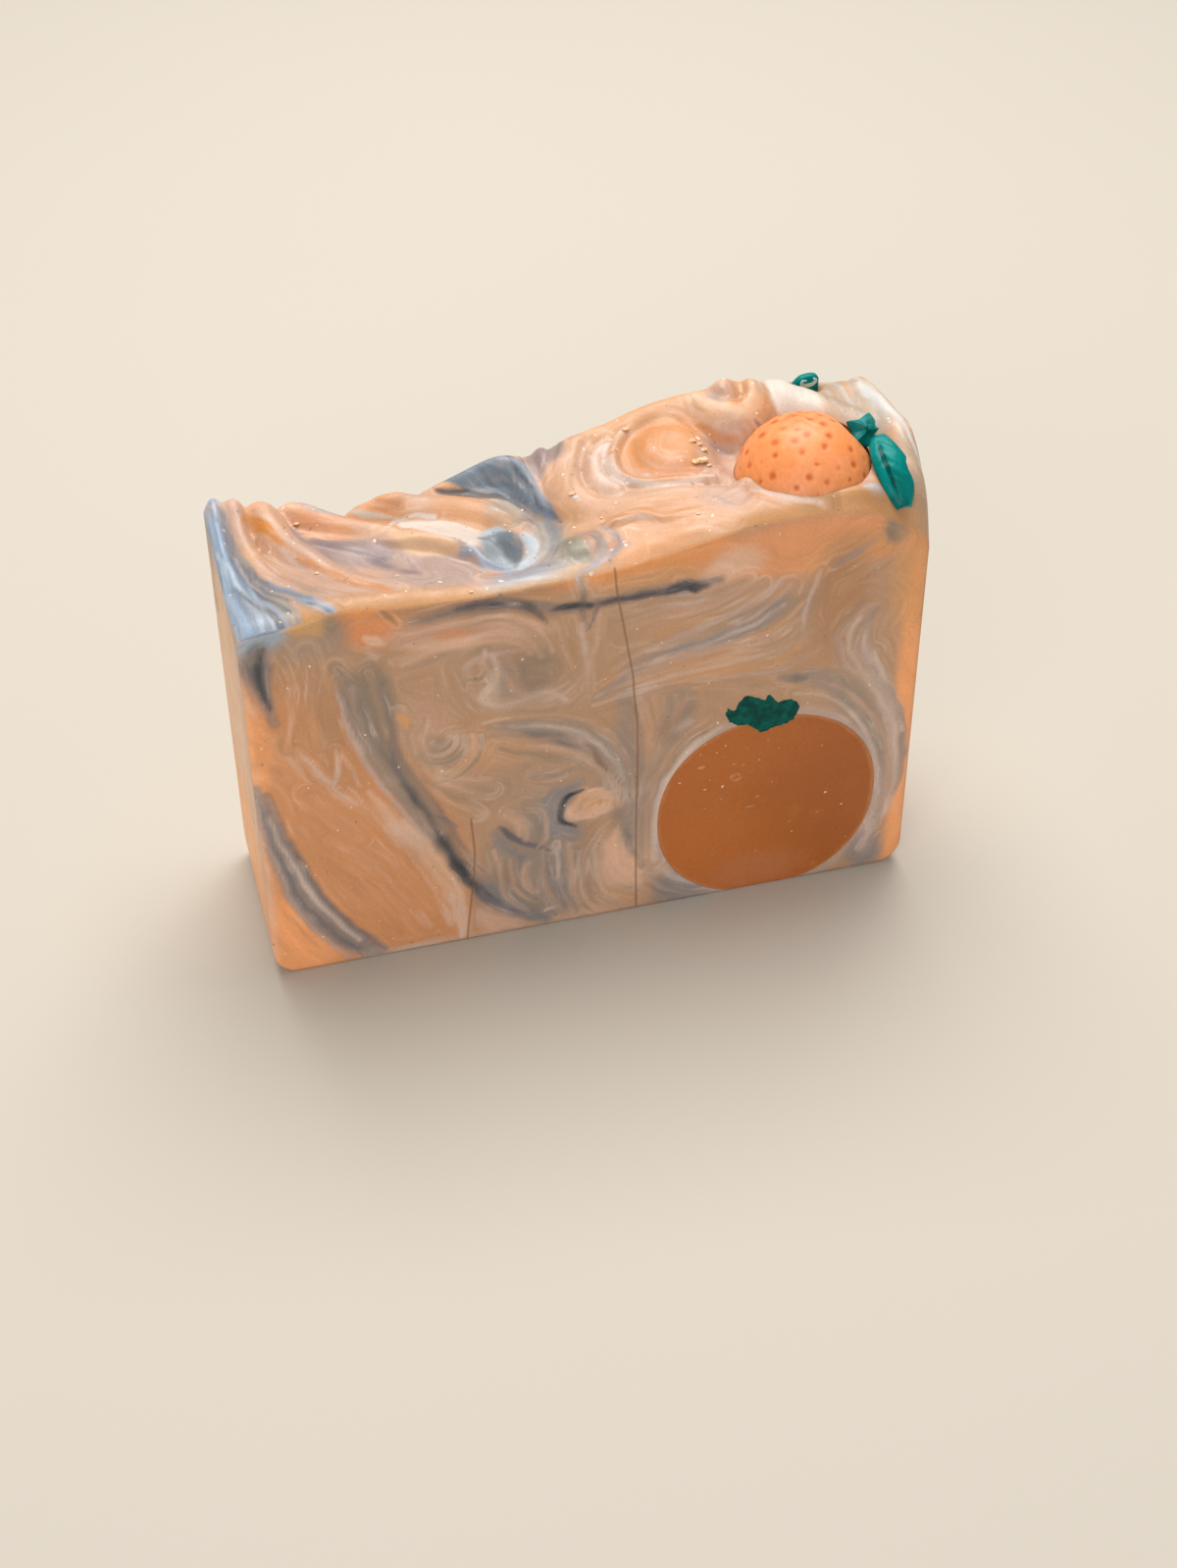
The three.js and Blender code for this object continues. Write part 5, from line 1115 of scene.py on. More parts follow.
# Strokes of the mould-side faces, as places along Y and Z
LEFT = Paint(
    patches=[
        Patch(0, 4, 16, 20, Tint.SIDE_ORANGE, 1, 1),
        Patch(-11, 30, 3, 30, Tint.PALE, 0.5, 1),
        Patch(10, 58, 6, 5, Tint.GREY, 0.8, 1),
        Patch(-10, 57, 5, 3, Tint.BLUE_GREY, 0.6, 1),
        Patch(3, 38, 6, 12, Tint.CREAM, 0.7, 1),
    ],
    strokes=[
        Sheaf((Tint.CREAM, Tint.PALE, Tint.SIDE_ORANGE), 9, (0.2, 0.6, 0.3), ((-10, 56), (-9, 38),
            (-10, 20), (-8, 2)), ((11, 58), (9, 40), (11, 22), (8, 3)), 0.9, 0.45),
        Stroke(Tint.BLUE_GREY, (0.6, 1.2, 0.5), ((12, 60), (9, 54), (10, 46)), 0.9, 0.5, Layer.BAND),
    ],
)

# Strokes of the round inlay's faces, as places along X and Z
LOG_PAINT = Paint(
    patches=[
        Patch(16, 11, 9, 10, Tint.LOG_LIGHT, 0.7, 1.8, 20),
        Patch(30, 20, 12, 12, Tint.LOG_DARK, 0.5, 1.8, -30),
        Patch(37.5, 14, 6, 11, Tint.LOG_DARK, 0.5, 1.8),
        Patch(23, 3, 6.5, 3.4, Tint.LOG_BLOOM, 0.6, 1),
        Patch(20, 25, 8, 5, Tint.LOG_LIGHT, 0.35, 1.8),
    ],
    strokes=[
        Stroke(Tint.LOG_SPECK, (0.12, 0.3, 0.12), ((14.2, 23.7), (14.6, 23.5), (15.2, 23.5)), 0.14, 0.8),
        Eye(19.6, 20.8, 0.7, 0.62, (Tint.LOG_SPECK,), 0.9, 0, 0, 360, 0.8),
        Stroke(Tint.LOG_SPECK, (0.12, 0.2, 0.12), ((19.2, 23.2), (19.5, 23.1), (19.8, 23)), 0.14, 0.7),
        Stroke(Tint.LOG_SPECK, (0.12, 0.18, 0.12), ((20.5, 22.9), (20.7, 22.8), (20.9, 22.8)), 0.14, 0.7),
        Stroke(Tint.LOG_SPECK, (0.12, 0.22, 0.12), ((22.6, 16.7), (22.8, 16.6), (23.1, 16.5)), 0.14, 0.8),
        Stroke(Tint.LOG_SPECK, (0.12, 0.2, 0.12), ((23.5, 15.8), (23.6, 15.8), (23.8, 15.7)), 0.14, 0.8),
        Stroke(Tint.LOG_SPECK, (0.08, 0.14, 0.08), ((21.1, 15.1), (21.7, 15), (22.6, 14.9)), 0.14, 0.7),
        Stroke(Tint.LOG_SPECK, (0.1, 0.18, 0.1), ((24.7, 18.8), (24.8, 18.8), (25, 18.7)), 0.14, 0.6),
        Stroke(Tint.LOG_SPECK, (0.1, 0.2, 0.1), ((25.2, 15), (25.4, 15), (25.5, 14.9)), 0.14, 0.7),
        Stroke(Tint.LOG_SPECK, (0.1, 0.18, 0.1), ((28.1, 13), (28.2, 13), (28.4, 12.9)), 0.14, 0.6),
        Stroke(Tint.LOG_SPECK, (0.1, 0.18, 0.1), ((27.4, 11.3), (27.5, 11.3), (27.7, 11.2)), 0.14, 0.7),
        Stroke(Tint.LOG_SPECK, (0.1, 0.2, 0.1), ((33.3, 16.7), (33.4, 16.7), (33.6, 16.6)), 0.14, 0.6),
        Stroke(Tint.LOG_SPECK, (0.1, 0.2, 0.1), ((31.5, 11.8), (31.6, 11.8), (31.8, 11.7)), 0.14, 0.7),
        Stroke(Tint.LOG_SPECK, (0.1, 0.2, 0.1), ((30.3, 4), (30.4, 4), (30.6, 4)), 0.14, 0.7),
        Stroke(Tint.LOG_SPECK, (0.1, 0.24, 0.1), ((31.5, 2.4), (31.7, 2.4), (31.9, 2.3)), 0.14, 0.7),
        Stroke(Tint.LOG_SPECK, (0.1, 0.2, 0.1), ((17.6, 17.4), (17.7, 17.4), (17.9, 17.4)), 0.14, 0.6),
        Stroke(Tint.LOG_SPECK, (0.1, 0.18, 0.1), ((23.2, 21.8), (23.3, 21.8), (23.5, 21.8)), 0.14, 0.6),
    ],
)

# Fine cracks of the front cut face, which run in turn downwards and upwards
CRACKS: tuple[tuple[Point2, ...], ...] = (
    ((2.8, 58.6), (3.05, 55.0), (3.8, 50.3), (4.6, 45.0), (5.2, 41.1), (5.4, 37.7), (5.8, 33.7),
     (5.9, 29.8), (5.9, 24.0), (5.8, 16.8), (5.8, 6.3), (5.9, 0.0)),
    ((-18.1, 0.0), (-17.7, 3.7), (-17.2, 7.6), (-16.9, 10.3), (-16.5, 15.3), (-16.7, 20.3),
     (-16.8, 22.1)),
)


def pick(*pieces: bpy.types.Object) -> None:
    """Selects these pieces alone and makes the first one active. With none, nothing is selected."""
    bpy.ops.object.select_all(action="DESELECT")
    for piece in pieces:
        piece.select_set(True)
    if pieces:
        bpy.context.view_layer.objects.active = pieces[0]


def places_of(piece: bpy.types.Object) -> np.ndarray:
    """The piece's vertices in mm, a row for each."""
    flat = np.empty(3 * len(piece.data.vertices))
    piece.data.vertices.foreach_get("co", flat)
    return flat.reshape(-1, 3) / MM


def put_at(piece: bpy.types.Object, places: np.ndarray) -> None:
    """Moves the piece's vertices.

    Args:
        piece: the piece.
        places: a row in mm for each vertex.
    """
    piece.data.vertices.foreach_set("co", (places * MM).ravel())
    piece.data.update()


def face_outwards(piece: bpy.types.Object) -> None:
    """Turns all faces of a closed piece outwards."""
    pick(piece)
    bpy.ops.object.mode_set(mode="EDIT")
    bpy.ops.mesh.select_all(action="SELECT")
    bpy.ops.mesh.normals_make_consistent(inside=False)
    bpy.ops.object.mode_set(mode="OBJECT")


def soften(piece: bpy.types.Object, degrees: float) -> None:
    """Shades a piece smooth up to an angle.

    Args:
        piece: the piece.
        degrees: edges sharper than this stay hard.
    """
    pick(piece)
    bpy.ops.object.shade_smooth_by_angle(angle=math.radians(degrees))


def cut(piece: bpy.types.Object, cutter: bpy.types.Object, operation: str) -> None:
    """Cuts a piece by another one and keeps the other.

    Args:
        piece: what is cut.
        cutter: what cuts it.
        operation: DIFFERENCE or INTERSECT.
    """
    pick(piece)
    modifier = piece.modifiers.new("cut", "BOOLEAN")
    modifier.operation = operation
    modifier.solver = "MANIFOLD"
    modifier.object = cutter
    bpy.ops.object.modifier_apply(modifier=modifier.name)


def remove(*pieces: bpy.types.Object) -> None:
    """Deletes helpers that were only cutters."""
    for piece in pieces:
        bpy.data.objects.remove(piece, do_unlink=True)


def copy_of(piece: bpy.types.Object, name: str) -> bpy.types.Object:
    """A copy of a piece with its own mesh."""
    twin = piece.copy()
    twin.data = piece.data.copy()
    twin.name = name
    bpy.context.scene.collection.objects.link(twin)
    return twin


def prism(name: str, outline: np.ndarray, half_depth: float) -> bpy.types.Object:
    """A straight bar along Y with a given outline.

    Args:
        name: the piece's name.
        outline: its places along X and Z in mm, anticlockwise as seen from the front.
        half_depth: how far it reaches to the front and to the back of the middle.

    Returns:
        The bar, with its faces outwards.
    """
    pick()
    bpy.ops.mesh.primitive_circle_add(vertices=len(outline), radius=MM, fill_type="NGON")
    bar = bpy.context.active_object
    bar.name = name
    front = np.stack([outline[:, 0], np.full(len(outline), -half_depth), outline[:, 1]], -1)
    put_at(bar, front)
    bpy.ops.object.mode_set(mode="EDIT")
    bpy.ops.mesh.select_all(action="SELECT")
    bpy.ops.mesh.extrude_region_move(TRANSFORM_OT_translate={"value": (0, 2 * half_depth * MM, 0)})
    bpy.ops.object.mode_set(mode="OBJECT")
    face_outwards(bar)
    return bar


def grown(outline: np.ndarray, gap: float) -> np.ndarray:
    """An outline moved outwards.

    Args:
        outline: its places, anticlockwise.
        gap: how far each place moves in mm.

    Returns:
        The wider outline.
    """
    along = np.roll(outline, -1, 0) - np.roll(outline, 1, 0)
    outward = np.stack([along[:, 1], -along[:, 0]], -1)
    return outline + gap * outward / np.linalg.norm(outward, axis=1, keepdims=True)


def store_paint(piece: bpy.types.Object, canvases: Sequence[tuple[np.ndarray, Canvas]]) -> None:
    """Writes what is painted on a piece's faces into its attributes.

    Args:
        piece: the piece.
        canvases: for each face, which vertices it has and its canvas.
    """
    count = len(piece.data.vertices)
    coats = {"wash": np.ones((count, 4)), "bands": np.ones((count, 4)),
             "veins": np.ones((count, 4)), "lines": np.ones((count, 4))}
    cover = np.full((count, 3), -8.0)
    flow = np.full(count, 6.0)
    for here, canvas in canvases:
        coats["wash"][here, :3] = canvas.wash
        for layer, name in zip(Layer, ("bands", "veins", "lines")):
            coats[name][here, :3] = canvas.ink[layer]
            cover[here, layer.value] = canvas.cover[layer]
        flow[here] = canvas.flow
    for name, colours in coats.items():
        layer = piece.data.attributes.new(name, "FLOAT_COLOR", "POINT")
        layer.data.foreach_set("color", np.clip(colours, 0, 1).ravel())
    piece.data.attributes.new("cover", "FLOAT_VECTOR", "POINT").data.foreach_set("vector", cover.ravel())
    piece.data.attributes.new("flow", "FLOAT", "POINT").data.foreach_set("value", flow)


class Recipe:
    """The nodes of one material, added one after another."""

    def __init__(self, name: str) -> None:
        """Starts a material.

        Args:
            name: its name.
        """
        self.material = bpy.data.materials.new(name)
        self.material.use_nodes = True
        self.tree = self.material.node_tree
        self.skin = self.tree.nodes["Principled BSDF"]
        self.place = self.tree.nodes.new("ShaderNodeTexCoord").outputs["Object"]

    def add(self, kind: str, inputs: dict, **settings: object) -> bpy.types.Node:
        """Adds a node.

        Args:
            kind: its Blender type.
            inputs: a value or another node's output for each of its inputs.
            settings: its other settings.

        Returns:
            The node.
        """
        node = self.tree.nodes.new(kind)
        for key, value in settings.items():
            setattr(node, key, value)
        for key, value in inputs.items():
            if isinstance(value, bpy.types.NodeSocket):
                self.tree.links.new(value, node.inputs[key])
            elif value is not None:
                node.inputs[key].default_value = value
        return node

    def attribute(self, name: str, output: str = "Color") -> bpy.types.NodeSocket:
        """One of the mesh's attributes."""
        return self.add("ShaderNodeAttribute", {}, attribute_name=name).outputs[output]

    def noise(self, scale: float, detail: float, turn: Point3 = (0, 0, 0),
              drift: bpy.types.NodeSocket | None = None) -> bpy.types.NodeSocket:
        """Noise on the piece's own place.

        Args:
            scale: waves in a metre.
            detail: how many finer octaves it has.
            turn: a turn about each axis in degrees.
            drift: a value that moves it on through the fourth dimension.

        Returns:
            The noise, from 0 to 1.
        """
        angles = tuple(math.radians(a) for a in turn)
        mapped = self.add("ShaderNodeMapping", {"Vector": self.place, "Rotation": angles})
        inputs = {"Vector": mapped.outputs["Vector"], "Scale": scale, "Detail": detail}
        if drift is None:
            return self.add("ShaderNodeTexNoise", inputs).outputs["Fac"]
        return self.add("ShaderNodeTexNoise", inputs | {"W": drift}, noise_dimensions="4D").outputs["Fac"]

    def spread(self, value: bpy.types.NodeSocket, low: float, high: float, to_low: float,
               to_high: float, kind: str = "SMOOTHSTEP") -> bpy.types.NodeSocket:
        """A value moved from one range to another.

        Args:
            value: the value.
            low: start of its range.
            high: end of its range.
            to_low: where the start goes.
            to_high: where the end goes.
            kind: how it runs in between.

        Returns:
            The new value.
        """
        return self.add("ShaderNodeMapRange", {"Value": value, "From Min": low, "From Max": high,
                                               "To Min": to_low, "To Max": to_high},
                        interpolation_type=kind).outputs["Result"]

    def sum(self, kind: str, first: bpy.types.NodeSocket, second: object,
            third: object = None) -> bpy.types.NodeSocket:
        """A sum of the named kind."""
        return self.add("ShaderNodeMath", {0: first, 1: second, 2: third}, operation=kind).outputs[0]

    def mix(self, share: object, first: object, second: object, kind: str = "MIX") -> bpy.types.NodeSocket:
        """Two colours mixed.

        Args:
            share: how much of the second.
            first: the first colour.
            second: the second colour.
            kind: the kind of mix.

        Returns:
            The mixed colour.
        """
        return self.add("ShaderNodeMix", {0: share, 6: first, 7: second}, data_type="RGBA",
                        blend_type=kind).outputs[2]

    def bump(self, height: bpy.types.NodeSocket, millimetres: float,
             strength: float) -> bpy.types.NodeSocket:
        """Small relief.

        Args:
            height: the height, from 0 to 1.
            millimetres: how high 1 stands.
            strength: how strongly it shows.

        Returns:
            The turned normal.
        """
        return self.add("ShaderNodeBump", {"Height": height, "Distance": millimetres * MM,
                                           "Strength": strength}).outputs[0]

    def finish(self, colour: bpy.types.NodeSocket, roughness: bpy.types.NodeSocket,
               normal: bpy.types.NodeSocket, glow: float, depth: float,
               gloss: float = 0.5) -> bpy.types.Material:
        """Joins all to the material's skin.

        Args:
            colour: the colour.
            roughness: how matt it is.
            normal: the small relief.
            glow: how far light goes into it, from 0 to 1.
            depth: how deep the light goes, in mm.
            gloss: how strongly it mirrors, with 0.5 as usual.

        Returns:
            The material.
        """
        self.tree.links.new(colour, self.skin.inputs["Base Color"])
        self.tree.links.new(roughness, self.skin.inputs["Roughness"])
        self.tree.links.new(normal, self.skin.inputs["Normal"])
        self.skin.inputs["Subsurface Weight"].default_value = glow
        self.skin.inputs["Subsurface Scale"].default_value = depth * MM
        self.skin.inputs["Subsurface Radius"].default_value = (1.0, 0.55, 0.3)
        self.skin.inputs["IOR"].default_value = 1.46
        self.skin.inputs["Specular IOR Level"].default_value = gloss
        return self.material


@dataclass(frozen=True)
class PaintedSoap:
    """Soap whose swirl comes from the paint on its faces, with fine streaks that follow the strokes."""

    name: str
    light_vein: Colour
    dark_vein: Colour
    marbling: float = 0.5
    streak: float = 0.07
    speckle: float = 0.05
    rag: float = 0.5
    roughness: tuple[float, float] = (0.36, 0.52)
    cracked: bool = False

    def make(self) -> bpy.types.Material:
        """The material."""
        r = Recipe(self.name)
        flow = r.attribute("flow", "Fac")
        cover = r.add("ShaderNodeSeparateXYZ", {"Vector": r.attribute("cover", "Vector")})
        rag = r.sum("MULTIPLY_ADD", r.noise(700, 3), self.rag * 2, -self.rag)
        fine = r.noise(200, 2, drift=r.sum("MULTIPLY", flow, 0.0075))
        broad = r.noise(80, 2, drift=r.sum("MULTIPLY", flow, 0.008))
        cloud = r.noise(120, 3, (0, 30, 0))
        colour = r.attribute("wash")
        for axis, coat in zip("XYZ", ("bands", "veins", "lines")):
            edge = r.sum("ADD", cover.outputs[axis], rag)
            colour = r.mix(r.spread(edge, -1, 1, 0, 1), colour, r.attribute(coat))
        close = r.spread(flow, 0.6, 3.2, self.marbling, self.marbling * 0.2)
        pale = r.sum("MULTIPLY", r.spread(fine, 0.48, 0.74, 0, 1), r.spread(cloud, 0.35, 0.65, 0.2, 1))
        grey = r.sum("MULTIPLY", r.spread(broad, 0.44, 0.24, 0, 1), r.spread(cloud, 0.6, 0.4, 0.2, 1))
        colour = r.mix(r.sum("MULTIPLY", pale, close), colour, (*linear(self.light_vein), 1))
        colour = r.mix(r.sum("MULTIPLY", grey, close), colour, (*linear(self.dark_vein), 1))
        grain = r.noise(2600, 3)
        light = r.spread(fine, 0.25, 0.75, 1 - self.streak, 1 + self.streak, "LINEAR")
        for noise, low, swing in ((broad, 0.25, self.streak), (grain, 0.3, self.speckle)):
            swung = r.spread(noise, low, 1 - low, 1 - swing, 1 + swing, "LINEAR")
            light = r.sum("MULTIPLY", light, swung)
        height = r.sum("MULTIPLY_ADD", fine, 0.5, grain)
        tone = r.add("ShaderNodeVectorMath", {0: colour, 3: light}, operation="SCALE").outputs[0]
        speck = r.noise(1150, 1)
        tone = r.mix(r.spread(speck, 0.73, 0.79, 0, 0.8), tone, (*linear(Tint.SPECK.value), 1))
        tone = r.mix(r.spread(speck, 0.27, 0.22, 0, 0.55), tone, (*linear(Tint.SLATE.value), 1))
        if self.cracked:
            crack = r.add("ShaderNodeSeparateXYZ", {"Vector": r.attribute("crack", "Vector")})
            off = r.sum("ADD", r.sum("ABSOLUTE", crack.outputs["X"], None), r.sum("MULTIPLY", rag, 0.07))
            line = r.sum("MULTIPLY", r.spread(off, 0.06, 0.22, 1, 0), crack.outputs["Y"])
            tone = r.mix(r.sum("MULTIPLY", line, 0.6), tone, (*linear(Tint.CRACK.value), 1))
            height = r.sum("MULTIPLY_ADD", line, -2.5, height)
        rough = r.spread(r.noise(420, 3), 0.3, 0.7, *self.roughness)
        return r.finish(tone, rough, r.bump(height, 0.05, 0.5), 0.12, 1.4)


@dataclass(frozen=True)
class PlainSoap:
    """Soap of one colour throughout, mottled, with a fine grain and some shine; where a shade colour is
    given, painted shade is laid in from the mesh's attribute.
    """

    name: str
    colour: Colour
    other: Colour
    mottle: float = 180.0
    grain: float = 2400.0
    relief: float = 0.04
    roughness: tuple[float, float] = (0.3, 0.45)
    glow: float = 0.15
    gloss: float = 0.5
    # colour of the painted shade in dimples, grooves and on the orange's crown
    painted_shade: Colour | None = None

    def make(self) -> bpy.types.Material:
        """The material."""
        r = Recipe(self.name)
        cloud = r.spread(r.noise(self.mottle, 4), 0.35, 0.65, 0, 1)
        grain = r.noise(self.grain, 3)
        tone = r.mix(cloud, (*linear(self.colour), 1), (*linear(self.other), 1))
        # painted shade, mixed in by the mesh's attribute
        if self.painted_shade:
            deep = r.spread(r.attribute("painted_shade", "Fac"), 0.1, 0.8, 0, 1)
            tone = r.mix(deep, tone, (*linear(self.painted_shade), 1))
        light = r.spread(grain, 0.3, 0.7, 0.93, 1.07, "LINEAR")
        tone = r.add("ShaderNodeVectorMath", {0: tone, 3: light}, operation="SCALE").outputs[0]
        rough = r.spread(r.noise(500, 3), 0.3, 0.7, *self.roughness)
        return r.finish(tone, rough, r.bump(grain, self.relief, 0.6), self.glow, 2.2, self.gloss)


def hand_in(piece: bpy.types.Object, node: str | None, slot: Slot, material: bpy.types.Material) -> None:
    """Gives a piece its finish and its place on the part.

    Args:
        piece: the piece.
        node: the CAD node it stands for, if any.
        slot: its material slot, whose name goes to the log.
        material: its finish.
    """
    piece.data.materials.clear()
    piece.data.materials.append(material)
    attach(piece, BODY)
    if node:
        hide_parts(node)
    LOG.info("%s: %d faces, %s", piece.name, len(piece.data.polygons), slot.value)


@dataclass
class SoapBlock:
    """The poured and cut block, in mm."""

    width: float = 89.0
    thickness: float = 26.0
    nominal: float = 60.0
    columns: int = 222
    rows: int = 150
    layers: int = 64
    foot_round: float = 3.6
    ease_depth: float = 0.3
    ease_reach: float = 0.7
    rim_light: float = 1.4
    inner_light: float = 0.35
    light_reach: float = 3.0
    rear_sway: float = 1.1
    top: PouredTop = field(default_factory=PouredTop)

    def half_width_at(self, z: np.ndarray) -> np.ndarray:
        """Half the block's width at a height, which narrows to its rounded foot."""
        below = np.clip(self.foot_round - z, 0, self.foot_round)
        return self.width / 2 - self.foot_round + np.sqrt(self.foot_round ** 2 - below ** 2)

    def blank(self) -> bpy.types.Object:
        """A straight block of fine faces, the start of the poured one.

        Returns:
            The closed block.
        """
        pick()
        bpy.ops.mesh.primitive_grid_add(
            x_subdivisions=self.columns, y_subdivisions=self.rows, size=1,
            location=(0, -self.thickness / 2 * MM, self.nominal / 2 * MM), rotation=(math.pi / 2, 0, 0))
        block = bpy.context.active_object
        block.name = "soap_body"
        block.scale = (self.width * MM, self.nominal * MM, 1)
        bpy.ops.object.transform_apply(location=True, rotation=True, scale=True)
        bpy.ops.object.mode_set(mode="EDIT")
        bpy.ops.mesh.select_all(action="SELECT")
        bpy.ops.mesh.extrude_region_move(
            TRANSFORM_OT_translate={"value": (0, self.thickness * MM, 0)})
        bpy.ops.mesh.select_all(action="DESELECT")
        bpy.ops.mesh.select_mode(type="EDGE")
        bpy.ops.object.mode_set(mode="OBJECT")
        ends = np.empty(2 * len(block.data.edges), int)
        block.data.edges.foreach_get("vertices", ends)
        y = places_of(block)[:, 1][ends.reshape(-1, 2)]
        across = np.abs(y[:, 0] - y[:, 1]) > self.thickness / 2
        block.data.edges.foreach_set("select", across)
        bpy.ops.object.mode_set(mode="EDIT")
        bpy.ops.mesh.subdivide(number_cuts=self.layers)
        bpy.ops.mesh.select_mode(type="FACE")
        bpy.ops.mesh.select_all(action="SELECT")
        bpy.ops.mesh.normals_make_consistent(inside=False)
        bpy.ops.mesh.select_all(action="DESELECT")
        bpy.ops.object.mode_set(mode="OBJECT")
        normals = np.empty(3 * len(block.data.polygons))
        block.data.polygons.foreach_get("normal", normals)
        block.data.polygons.foreach_set("select", normals.reshape(-1, 3)[:, 2] < -0.5)
        bpy.ops.object.mode_set(mode="EDIT")
        bpy.ops.mesh.dissolve_faces()
        bpy.ops.object.mode_set(mode="OBJECT")
        return block

    def build(self) -> bpy.types.Object:
        """The block with its poured top, rounded foot and eased edges.

        Returns:
            The closed block.
        """
        block = self.blank()
        p = places_of(block)
        grid, back = np.unique(np.round(p[:, :2], 4), axis=0, return_inverse=True)
        height = self.top.height(grid[:, 0], grid[:, 1])[back.ravel()]
        z = p[:, 2] / self.nominal * height
        half = self.half_width_at(z)
        x = p[:, 0] * half / (self.width / 2)
        to_edge = np.minimum(half - np.abs(x), z)
        eased = self.ease_depth * np.clip(1 - to_edge / self.ease_reach, 0, 1) ** 2
        on_face = np.abs(p[:, 1]) > self.thickness / 2 - 0.01
        inner = p[:, 1] * (1 - eased / (self.thickness / 2))
        y = np.where(on_face, p[:, 1] - np.sign(p[:, 1]) * eased, inner)
        put_at(block, np.stack([x, y, z], -1))
        return block

    def face_canvases(self, body: bpy.types.Object) -> list[tuple[np.ndarray, Canvas]]:
        """Paints the cut faces, the mould sides and the poured top.

        The top lies open to the light from above, so its tints are taken down, most of all inwards.

        Args:
            body: the block with its hollows cut.

        Returns:
            For each face, its vertices and its canvas.
        """
        p = places_of(body)
        x, y, z = p.T
        half = self.half_width_at(z)
        reach = self.thickness / 2 - self.ease_depth - 0.05
        front = y < -reach
        rear = y > reach
        end = ~front & ~rear & (half - np.abs(x) < 0.02) & (z < self.top.height(x, y) - 0.6)
        top = ~front & ~rear & ~end
        made = []
        for here, paint, u, v, ground, seed in (
            (front, FRONT, x, z, Tint.TAN, 1.0),
            (rear, FRONT, x, z, Tint.TAN, 4.0),
            (end, LEFT, y, z, Tint.SIDE, 2.0),
            (top, TOP, x, y, Tint.T_PEACH, 3.0),
        ):
            a, b = u[here], v[here]
            if here is rear:
                sway = self.rear_sway * wobble(a, b, 17, 2.2), self.rear_sway * wobble(a, b, 19, 7.7)
                a, b = a + sway[0], b + sway[1]
            rim = np.minimum(reach - np.abs(y[here]), half[here] - np.abs(x[here]))
            inwards = ease(rim / self.light_reach)
            lit = 1 / (self.rim_light + self.inner_light * inwards)
            level = lit if here is top else np.ones(len(a))
            canvas = Canvas(a, b, linear(ground.value), seed, level)
            canvas.paint(paint)
            made.append((here, canvas))
        return made

    def score(self, body: bpy.types.Object) -> None:
        """Writes how far each place of the front cut face is from its fine cracks.

        Args:
            body: the block.
        """
        x, y, z = places_of(body).T
        crack = np.stack([np.full(len(x), 9.0), np.zeros(len(x)), np.zeros(len(x))], -1)
        for path in CRACKS:
            near = nearest_on(finer_path(path), x, z)
            close = (near.distance < np.abs(crack[:, 0])) & (y < -self.thickness / 2 + 0.4)
            signed = near.distance * np.sign(near.side)
            crack[:, 0] = np.where(close, signed, crack[:, 0])
            inner = (near.share < 0.995) & (near.distance < 2.0)
            crack[:, 1] = np.where(close, inner, crack[:, 1])
        body.data.attributes.new("crack", "FLOAT_VECTOR", "POINT").data.foreach_set("vector", crack.ravel())


@dataclass
class RoundInlay:
    """The round log of orange soap that runs through the block, in mm."""

    x: float = 24.2
    z: float = 14.9
    half_width: float = 15.4
    half_height: float = 15.3
    power: float = 2.15
    steps: int = 220
    seam: float = 0.04

    def outline(self) -> np.ndarray:
        """Its outline along X and Z."""
        angle = np.linspace(0, 2 * math.pi, self.steps, endpoint=False)
        c, s = np.cos(angle), np.sin(angle)
        return np.stack([self.x + self.half_width * np.sign(c) * np.abs(c) ** (2 / self.power),
                         self.z + self.half_height * np.sign(s) * np.abs(s) ** (2 / self.power)], -1)

    def build(self, block: bpy.types.Object) -> bpy.types.Object:
        """Cuts the log's own piece out of a copy of the block.

        Args:
            block: the whole block.

        Returns:
            The log.
        """
        log = copy_of(block, "orange_inlay")
        bar = prism("inlay_bar", self.outline(), 20)
        cut(log, bar, "INTERSECT")
        remove(bar)
        return log

    def dress(self, log: bpy.types.Object) -> None:
        """Paints both cut faces."""
        x, y, z = places_of(log).T
        made = []
        edge = tuple((float(a), float(b)) for a, b in self.outline()[::6])
        rim = Stroke(Tint.LOG_EDGE, (0.3, 0.3), (*edge, edge[0]), 0.35, 0.7, Layer.BAND, False)
        for here, seed in ((y < 0, 1.5), (y >= 0, 6.5)):
            canvas = Canvas(x[here], z[here], linear(Tint.LOG_BROWN.value), seed, np.ones(here.sum()))
            canvas.paint(Paint(LOG_PAINT.patches, [rim, *LOG_PAINT.strokes]))
            made.append((here, canvas))
        store_paint(log, made)
        soften(log, 35)
        finish = PaintedSoap("inlay_soap_look", Tint.LOG_LIGHT.value, Tint.LOG_DARK.value, 0.35, 0.02, 0.07,
                             0.5, (0.34, 0.5))
        hand_in(log, "orange_log", Slot.INLAY, finish.make())


